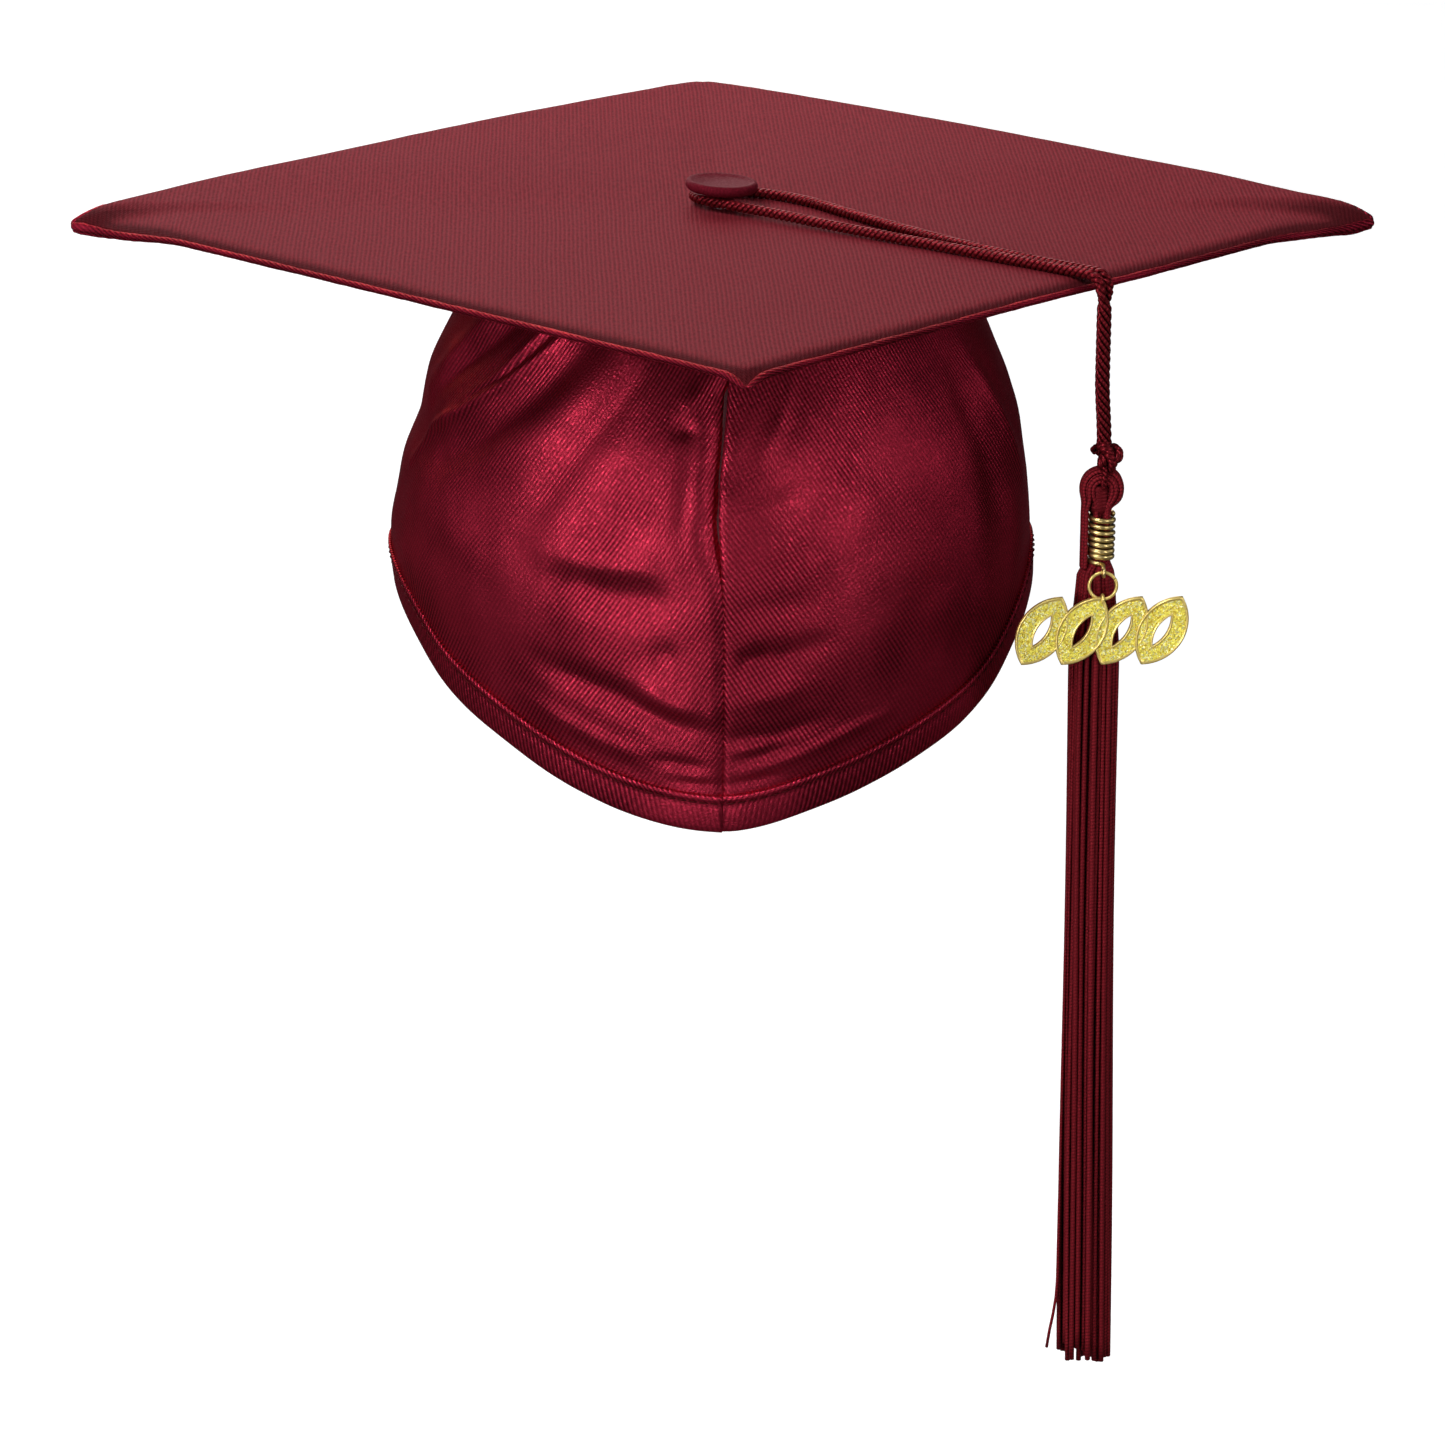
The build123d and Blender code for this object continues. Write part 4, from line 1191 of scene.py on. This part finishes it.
def twisted(shape, path, radius, pitch, sides, closed=False, tone_and_shade=0.9, plies=2):
    """Adds a twisted cord along a path."""
    run = lengths_along(path)
    if closed:
        pitch = run[-1] / max(round(run[-1] / pitch), 1)
    side, other = carried_frames(path)
    for k in range(plies):
        angle = 2 * math.pi * (k / plies - run / pitch)[:, None]
        ply = path + (side * np.cos(angle) + other * np.sin(angle)) * radius * 0.48
        shape.tube(rings(ply, radius * 0.56, sides), run, tone_and_shade)


def make_knot():
    """Overhand knot of the doubled cord, its small loose bight, and the end loop below it."""
    shape = Shape()
    t = np.linspace(0, 2 * math.pi, 200)
    middle = (KNOT_TOP + KNOT_LOW) / 2
    lean = 0.35
    across, high = np.sin(t) + 1.55 * np.sin(2 * t), np.cos(t) - 1.55 * np.cos(2 * t)
    wrap = np.stack([across * math.cos(lean) + high * math.sin(lean), -1.9 * np.sin(3 * t),
                     -across * math.sin(lean) + high * math.cos(lean)], -1)
    wrap = hang(wrap * [1.05, 0.95, 1.05] + [0.9, -0.3, middle + 0.2])
    twisted(shape, wrap, 1.35, 4.2, 9, closed=True, plies=3)
    crossing = smooth_curve([(0, 0, KNOT_TOP + 0.5), (0.2, -0.9, KNOT_TOP - 1.2),
                             (0.9, -2.6, middle + 1.2), (2.0, -2.7, middle - 1.0),
                             (1.6, -1.4, KNOT_LOW - 0.4), (0.4, 0, KNOT_LOW - 1.8)])
    twisted(shape, hang(crossing), 1.25, 4.2, 9, plies=3)
    core = hang(np.array([0.3, 0, 0]) + UP * np.linspace(KNOT_TOP + 1, KNOT_LOW + 0.5, 12)[:, None])
    shape.strand(core, 1.7, 10, 0.3)
    bight = np.stack([0.9 * np.cos(t) - 2.1, 0.4 * np.sin(2 * t) - 0.6, 0.9 * np.sin(t) + middle + 1.7], -1)
    twisted(shape, hang(bight[::2]), 0.55, 2.0, 6, closed=True, tone_and_shade=0.0)
    loop = np.stack([0 * t, HEAD_MAJOR * np.sin(t), HEAD_MAJOR * np.cos(t)], -1)
    twisted(shape, hang(loop + UP * (HEAD_Z + HEAD_MAJOR)), 0.8, 2.4, 7, closed=True)
    shape.build("cord_knot_plies", CORD_YARN, "knot", "cord_rayon", ["cord_knot"])


# ---- Tassel --------------------------------------------------------------------------------------
def head_strand(reach, depth):
    """One folded strand, from the neck up one side of the head, over the top, and down again.
    reach is its distance from the small hole in the head. The outer strands on the wearer's right
    pass beside the wire coil, not through it."""
    angle = np.linspace(-0.70 * math.pi, 0.70 * math.pi, 34)
    flat = 1 + 0.06 * np.cos(2 * angle)
    arc = np.stack([reach * np.sin(angle) * flat, np.full(34, depth), HEAD_Z + reach * np.cos(angle)], -1)
    share = (reach - HOLE) / (HEAD_REACH - HOLE)
    left_x = 0.35 + 1.6 * share
    right_x = -0.15 - 2.8 * share if share < 0.5 else -3.65 - 2.1 * (share - 0.5)
    z = np.linspace(COIL_HIGH + 1.8, COIL_LOW - 1.5, 9)
    down_left = np.stack([np.full(9, left_x), np.full(9, depth * 0.8), z], -1)
    down_right = np.stack([np.full(9, right_x), np.full(9, depth * 0.8), z], -1)
    return np.concatenate([down_right[::-1], arc, down_left])


def make_head():
    """The folded strands, and a dark core that fills the neck behind them, as painted shade between the
    strands.
    """
    shape = Shape()
    for across, depth in packed_spots((HEAD_REACH - HOLE) / 2, 2.4, 0.90):
        path = head_strand(across + (HOLE + HEAD_REACH) / 2, depth)
        path = hang(smooth_path(resample(path, 0.6), 6) + [-0.3, 0, 0])
        shape.strand(path, 0.55, 7, RANDOM.uniform(0.35, 1.0), start=BACKWARDS)
    # The core is drawn at the darkest tone: painted shade that shows between the strands.
    down = np.linspace(0, 1, 30)
    high = HEAD_Z + 1.2
    core = np.stack([-0.9 + 0.7 * down, 0.6 + 0 * down, high + (COIL_LOW - high) * down], -1)
    shape.strand(hang(core), 3.3 - 1.2 * soft_step((down - 0.30) / 0.10), 14, 0.0)
    shape.build("tassel_head_strands", STRAND_YARN, "tassel", "cord_rayon", ["tassel_head"])


def packed_spots(half_x, half_y, spacing):
    """Places of round strands packed in an oval."""
    spots = []
    rows = int(half_y / (spacing * 0.866)) + 1
    for j in range(-rows, rows + 1):
        for i in range(-20, 21):
            x = (i + 0.5 * (j % 2)) * spacing
            y = j * spacing * 0.866
            if (x / half_x) ** 2 + (y / half_y) ** 2 <= 1.0:
                spots.append((x, y))
    return spots


SKIRT_STEPS = 46                # rings of points along each strand
SKIRT_HIGH = COIL_LOW - 0.5     # the strands come out of the coil here


def skirt_strand(x, y, end_z):
    """A strand from the neck down to its end, with a slow sway of its own."""
    collar = np.linspace(SKIRT_HIGH + 2.5, SKIRT_HIGH - 3, 6)
    z = np.concatenate([collar, np.linspace(SKIRT_HIGH - 4.5, end_z, SKIRT_STEPS - 6)])
    down = np.clip(SKIRT_HIGH - z, 0, None)
    opening = soft_step((SKIRT_HIGH + 1.5 - z) / 4.5)
    width = 0.30 + 0.38 * opening + 0.26 * soft_step(down / 26) + 0.12 * down / 220
    lean = -0.3 - 0.9 * opening + 2.1 * np.clip(down / 200, 0, 1.1) ** 1.6
    phase = RANDOM.uniform(0, 6.28)
    size = RANDOM.uniform(0.10, 0.42) * soft_step(down / 30)
    sway = size * np.sin(down * RANDOM.uniform(0.02, 0.05) + phase)
    sway_y = size * np.cos(down * RANDOM.uniform(0.02, 0.045) + phase)
    return np.stack([x * width + sway + lean, y * width + sway_y, z], -1)


def make_skirt():
    """The hanging strands, uneven at their ends, and one that strays to the wearer's right."""
    shape = Shape()
    for x, y in packed_spots(6.9, 5.2, 1.50):
        x += RANDOM.uniform(-0.15, 0.15)
        y += RANDOM.uniform(-0.15, 0.15)
        end = SKIRT_LOW + 1.6 + RANDOM.uniform(0, 1) ** 1.6 * 6.5
        path = hang(skirt_strand(x, y, end))
        radius = RANDOM.uniform(0.68, 0.76)
        turn = RANDOM.uniform(0, 1)
        shape.strand(path, radius, 7, RANDOM.uniform(0.3, 1.0), turn=turn)
    z = np.linspace(SKIRT_HIGH, SKIRT_LOW + 5, SKIRT_STEPS)
    down = SKIRT_HIGH - z
    stray = np.stack([-4.4 - 2.2 * soft_step(down / 26) - 2.5 * soft_step((down - 194) / 24) ** 1.5,
                      np.full(len(z), -1.5), z], -1)
    shape.strand(hang(stray), 0.42, 7, 0.6)
    shape.build("tassel_strands", STRAND_YARN, "tassel", "cord_rayon", ["tassel_skirt"])


COIL_TURNS = 8
COIL_MIDDLE = -0.1          # the coil sits a little to the wearer's right of the cord
WIRE_RADIUS = 0.42          # of the eye, the jump ring and the charm's bail


def make_coil():
    """Gilt wire wound round the neck, then bent into an eye at the front."""
    t = np.linspace(0, 1, 380)
    angle = t * (COIL_TURNS - 0.25) * 2 * math.pi
    wobble = 0.06 * np.sin(angle * 0.37) + 0.04 * np.sin(angle * 1.3)
    radius = 2.87 + wobble
    high, low = COIL_HIGH - 0.2, COIL_LOW + 0.1
    z = high + (low - high) * t + 0.07 * np.sin(angle * 0.5)
    coil = np.stack([COIL_MIDDLE + radius * np.cos(angle), radius * np.sin(angle), z], -1)
    eye_middle = np.array([0, CHARM_Y - HANG[1], EYE_Z])
    around = np.linspace(0, 2 * math.pi * 0.94, 30)[1:]
    eye = eye_middle + np.stack([0.02 * around, np.sin(around), np.cos(around)], -1)
    stub = smooth_curve([coil[-1], (0.1, -3.9, COIL_LOW + 0.1), (0.05, -5.0, EYE_Z + 1.2), eye[0]], 5)[1:-1]
    path = hang(np.concatenate([coil, stub, eye]))
    thickness = np.concatenate([np.full(len(coil), 0.62), np.linspace(0.55, WIRE_RADIUS, len(stub)),
                                np.full(len(eye), WIRE_RADIUS)])
    shape = Shape()
    shape.strand(path, thickness, 10, squash=1.25)
    shape.build("wire_coil_wound", GILT_WIRE, "tassel", "gilt_wire", ["wire_coil"])


# ---- Ring and charm ------------------------------------------------------------------------------
def make_ring():
    """Split jump ring, its ends almost touching at one side."""
    low, high = cad_box("jump_ring")
    radius = (high[0] - low[0]) / 2 - WIRE_RADIUS
    angle = np.radians(np.linspace(34, 34 + 357, 72))
    path = np.stack([radius * np.cos(angle), 0.05 * np.linspace(-1, 1, 72), radius * np.sin(angle)], -1)
    path = path + [HANG[0], CHARM_Y, RING_Z]
    shape = Shape()
    shape.strand(path, WIRE_RADIUS, 10, start=BACKWARDS)
    shape.build("jump_ring_split", GILT, "link", "gilt_wire", ["jump_ring"])


LEAVES = 4
LEAF_LENGTH = 20.5
LEAF_WIDTH = 12.0
LEAF_PITCH = 10.1           # from the middle of one leaf to the next
HEART_LENGTH = 9.0          # the opening in each leaf
HEART_WIDTH = 2.6
LEAF_LEAN = math.asin(LEAF_PITCH / LEAF_LENGTH)
PLATE_BACK = 0.5            # half the thickness of a leaf's plate
CHARM_MIDDLE = (CHARM_LOW + CHARM_HIGH) / 2 + 1.3     # the leaves hang close up under the ring


def pointed_oval(length, width, count):
    """Points round a leaf outline: two arcs that meet in points."""
    radius = (length ** 2 / 4 + width ** 2 / 4) / width
    reach = math.asin(length / 2 / radius)
    angle = np.linspace(-reach, reach, count)
    right = np.stack([radius * np.cos(angle) - radius + width / 2, radius * np.sin(angle)], -1)
    return np.concatenate([right[:-1], -right[:-1]])


def leaf_place(points, k, front):
    """Puts leaf-plane points on the charm: leans them, moves them to leaf k, and stands them up.
    front is how far they stand in front of the charm's middle."""
    c, s = math.cos(LEAF_LEAN), math.sin(LEAF_LEAN)
    x = points[..., 0] * c + points[..., 1] * s + (k - (LEAVES - 1) / 2) * LEAF_PITCH
    z = -points[..., 0] * s + points[..., 1] * c + CHARM_MIDDLE
    return np.stack([HANG[0] + x, CHARM_Y - front + 0 * x, z], -1)


def leaf_rim(shape, k, sections):
    """Adds a closed ring round leaf k. Its section goes through (length, width, front) outlines."""
    rows = []
    for length, width, front in sections:
        rows.append(leaf_place(pointed_oval(length, width, 34), k, front))
    shape.ring(np.array(rows).transpose(1, 0, 2))


def make_charm():
    """Cast garland of leaves. Each one is a glittered plate with a rounded raised rim round its edge
    and round the opening at its heart."""
    shape = Shape()
    flakes = Shape()
    long, wide = LEAF_LENGTH, LEAF_WIDTH
    heart_long, heart_wide = HEART_LENGTH, HEART_WIDTH
    for k in range(LEAVES):
        step = 0.12 * (k % 2)
        back, face = -PLATE_BACK + step * 0.5, PLATE_BACK + step
        outside = [(long - 0.5, wide - 0.4, back), (long, wide, back + 0.3), (long, wide, face),
                   (long - 0.5, wide - 0.35, face + 0.33), (long - 1.5, wide - 0.95, face + 0.36),
                   (long - 2.1, wide - 1.4, face)]
        heart = [(heart_long + 2.0, heart_wide + 1.3, face),
                 (heart_long + 1.3, heart_wide + 0.9, face + 0.34),
                 (heart_long + 0.4, heart_wide + 0.3, face + 0.33), (heart_long, heart_wide, face),
                 (heart_long, heart_wide, back + 0.3), (heart_long + 0.5, heart_wide + 0.4, back)]
        leaf_rim(shape, k, outside + heart)
        rows = []
        for share in np.linspace(0, 1, 16):
            length = (long - 2.0) * (1 - share) + (heart_long + 1.8) * share
            width = (wide - 1.35) * (1 - share) + (heart_wide + 1.2) * share
            outline = pointed_oval(length, width, 60)
            grain = np.array([RANDOM.uniform(0, 0.20) for _ in outline])
            rows.append(leaf_place(outline, k, face + 0.06 + grain))
        rows = np.array(rows)
        under = rows[::-1] + [0, 0.35, 0]
        flakes.ring(np.concatenate([rows, under[[0, -1]]]).transpose(1, 0, 2))
    t = np.linspace(0, 2 * math.pi, 40)
    bail = np.stack([0 * t, np.sin(t), np.cos(t)], -1) + [HANG[0], CHARM_Y, RING_Z - 3.5]
    shape.strand(bail, WIRE_RADIUS, 9)
    shape.build("charm_casting", GILT, "charm", "charm_gilt", ["charm_frame"])
    flakes.build("charm_glitter_flakes", GLITTER, "charm", "charm_glitter", ["charm_glitter"], smooth=False)


# ---- CAD nodes that keep their shape -------------------------------------------------------------
def paint_cad():
    """Hidden metal parts of the button, in their own metals."""
    for node, material in (("button_back", ALUMINIUM), ("button_retainer", STEEL)):
        mesh = frame["nodes"][node].data
        mesh.materials.clear()
        mesh.materials.append(material)


# ---- Stage ---------------------------------------------------------------------------------------
STAGE_REACH = 9000          # how far the floor runs to each side and to the front
CURVE_START = 1400
CURVE_RADIUS = 900


def make_stage():
    """Pale floor that curves up into a pale wall. It looks white but throws little light back."""
    floor_z = CAD_BOUNDS[0].z / MM - 260
    curve = np.linspace(0.1, math.pi / 2, 14)
    depth = np.concatenate([spread(-STAGE_REACH, CURVE_START, 12),
                            CURVE_START + CURVE_RADIUS * np.sin(curve), [CURVE_START + CURVE_RADIUS] * 4])
    height = np.concatenate([[0] * 12, CURVE_RADIUS * (1 - np.cos(curve)), [1300, 1900, 2700, 3500]])
    points = [(x, y, z + floor_z) for y, z in zip(depth, height) for x in (-STAGE_REACH, STAGE_REACH)]
    mesh = bpy.data.meshes.new("studio_floor")
    mesh.from_pydata((np.array(points) * MM).tolist(), [],
                     [[2 * i, 2 * i + 1, 2 * i + 3, 2 * i + 2] for i in range(len(depth) - 1)])
    mesh.polygons.foreach_set("use_smooth", [True] * len(mesh.polygons))
    r = Recipe("studio_paper")
    seen = r.node("LightPath").outputs["Is Camera Ray"]
    paper = r.mix(seen, (0.12, 0.12, 0.12, 1), (0.80, 0.80, 0.81, 1))
    r.put(r.shader.inputs["Emission Color"], (1, 1, 1, 1))
    r.put(r.shader.inputs["Emission Strength"], r.times(seen, 0.45))
    mesh.materials.append(r.finish(base=paper, rough=0.9, specular=0.0))
    floor = bpy.data.objects.new("studio_floor", mesh)
    bpy.context.scene.collection.objects.link(floor)


def area_light(name, place, size, power, target=(0, 0, -0.06)):
    """A rectangular lamp that faces the target. Places are in metres."""
    light = bpy.data.lights.new(name, "AREA")
    light.shape = "RECTANGLE"
    light.size, light.size_y = size
    light.energy = power
    lamp = bpy.data.objects.new(name, light)
    lamp.location = place
    lamp.rotation_euler = (Vector(target) - Vector(place)).to_track_quat("-Z", "Y").to_euler()
    bpy.context.scene.collection.objects.link(lamp)


def around_cap(azimuth, elevation, distance):
    """A place this many degrees round from the front (plus is the wearer's left) and up."""
    a, e = math.radians(azimuth), math.radians(elevation)
    out = distance * math.cos(e)
    return out * math.sin(a), -out * math.cos(a), distance * math.sin(e)


def make_lights():
    """A soft key from the wearer's right, a weaker fill, and dim lamps for the sides and the back."""
    world = bpy.data.worlds.new("studio_world")
    world.use_nodes = True
    world.node_tree.nodes["Background"].inputs[0].default_value = (0.93, 0.94, 0.96, 1)
    world.node_tree.nodes["Background"].inputs[1].default_value = 0.22
    bpy.context.scene.world = world
    area_light("key_low", around_cap(-44, 6, 1.9), (0.40, 0.60), 13)
    area_light("key_high", around_cap(-45, 53, 2.0), (0.8, 0.8), 31)
    area_light("fill", around_cap(42, 10, 1.9), (0.4, 0.6), 7.5)
    area_light("side_left", around_cap(95, 12, 1.6), (0.5, 0.9), 2.0)
    area_light("side_right", around_cap(-100, 12, 1.6), (0.5, 0.9), 2.0)
    area_light("back", around_cap(195, 20, 2.2), (1.8, 0.8), 18)
    area_light("board_back", (-0.05, 0.42, 0.38), (0.5, 0.3), 2.2, target=(0, 0.1, 0))
    area_light("low", around_cap(-14, -22, 1.2), (0.35, 0.25), 1.7)
    bpy.context.scene.view_settings.view_transform = "Standard"


CAMERA_PLACE = (-0.0496, -1.4076, 0.3307)
CAMERA_TURN = (2.05, 18.35, 0.24)       # degrees round, down, and over to one side
CAMERA_LENS = 137.0


def make_camera():
    """A long lens that looks at the cap from the front and a little above."""
    yaw, pitch, roll = (math.radians(angle) for angle in CAMERA_TURN)
    level = Vector((math.cos(yaw), -math.sin(yaw), 0))
    ahead = Vector((math.sin(yaw) * math.cos(pitch), math.cos(yaw) * math.cos(pitch), -math.sin(pitch)))
    above = level.cross(ahead)
    right = level * math.cos(roll) + above * math.sin(roll)
    up = above * math.cos(roll) - level * math.sin(roll)
    turn = Matrix((right, up, -ahead)).transposed()
    data = bpy.data.cameras.new("camera")
    data.sensor_width = 36.0
    data.lens = CAMERA_LENS
    camera = bpy.data.objects.new("camera", data)
    camera.matrix_world = Matrix.Translation(CAMERA_PLACE) @ turn.to_4x4()
    bpy.context.scene.collection.objects.link(camera)
    bpy.context.scene.camera = camera


# ---- Everything, in order ------------------------------------------------------------------------
make_board()
make_card()
make_piping()
make_panel(1, "skullcap_left_cloth", "skullcap_left_panel")
make_panel(-1, "skullcap_right_cloth", "skullcap_right_panel")
make_band(1, "hem_band_left_cloth", "hem_band_left")
make_band(-1, "hem_band_right_cloth", "hem_band_right")
make_hem_stitching()
make_crown_stitching()
make_linings()
make_crown_pad()
make_button()
make_cords()
make_knot()
make_head()
make_skirt()
make_coil()
make_ring()
make_charm()
paint_cad()
make_stage()
make_lights()
make_camera()
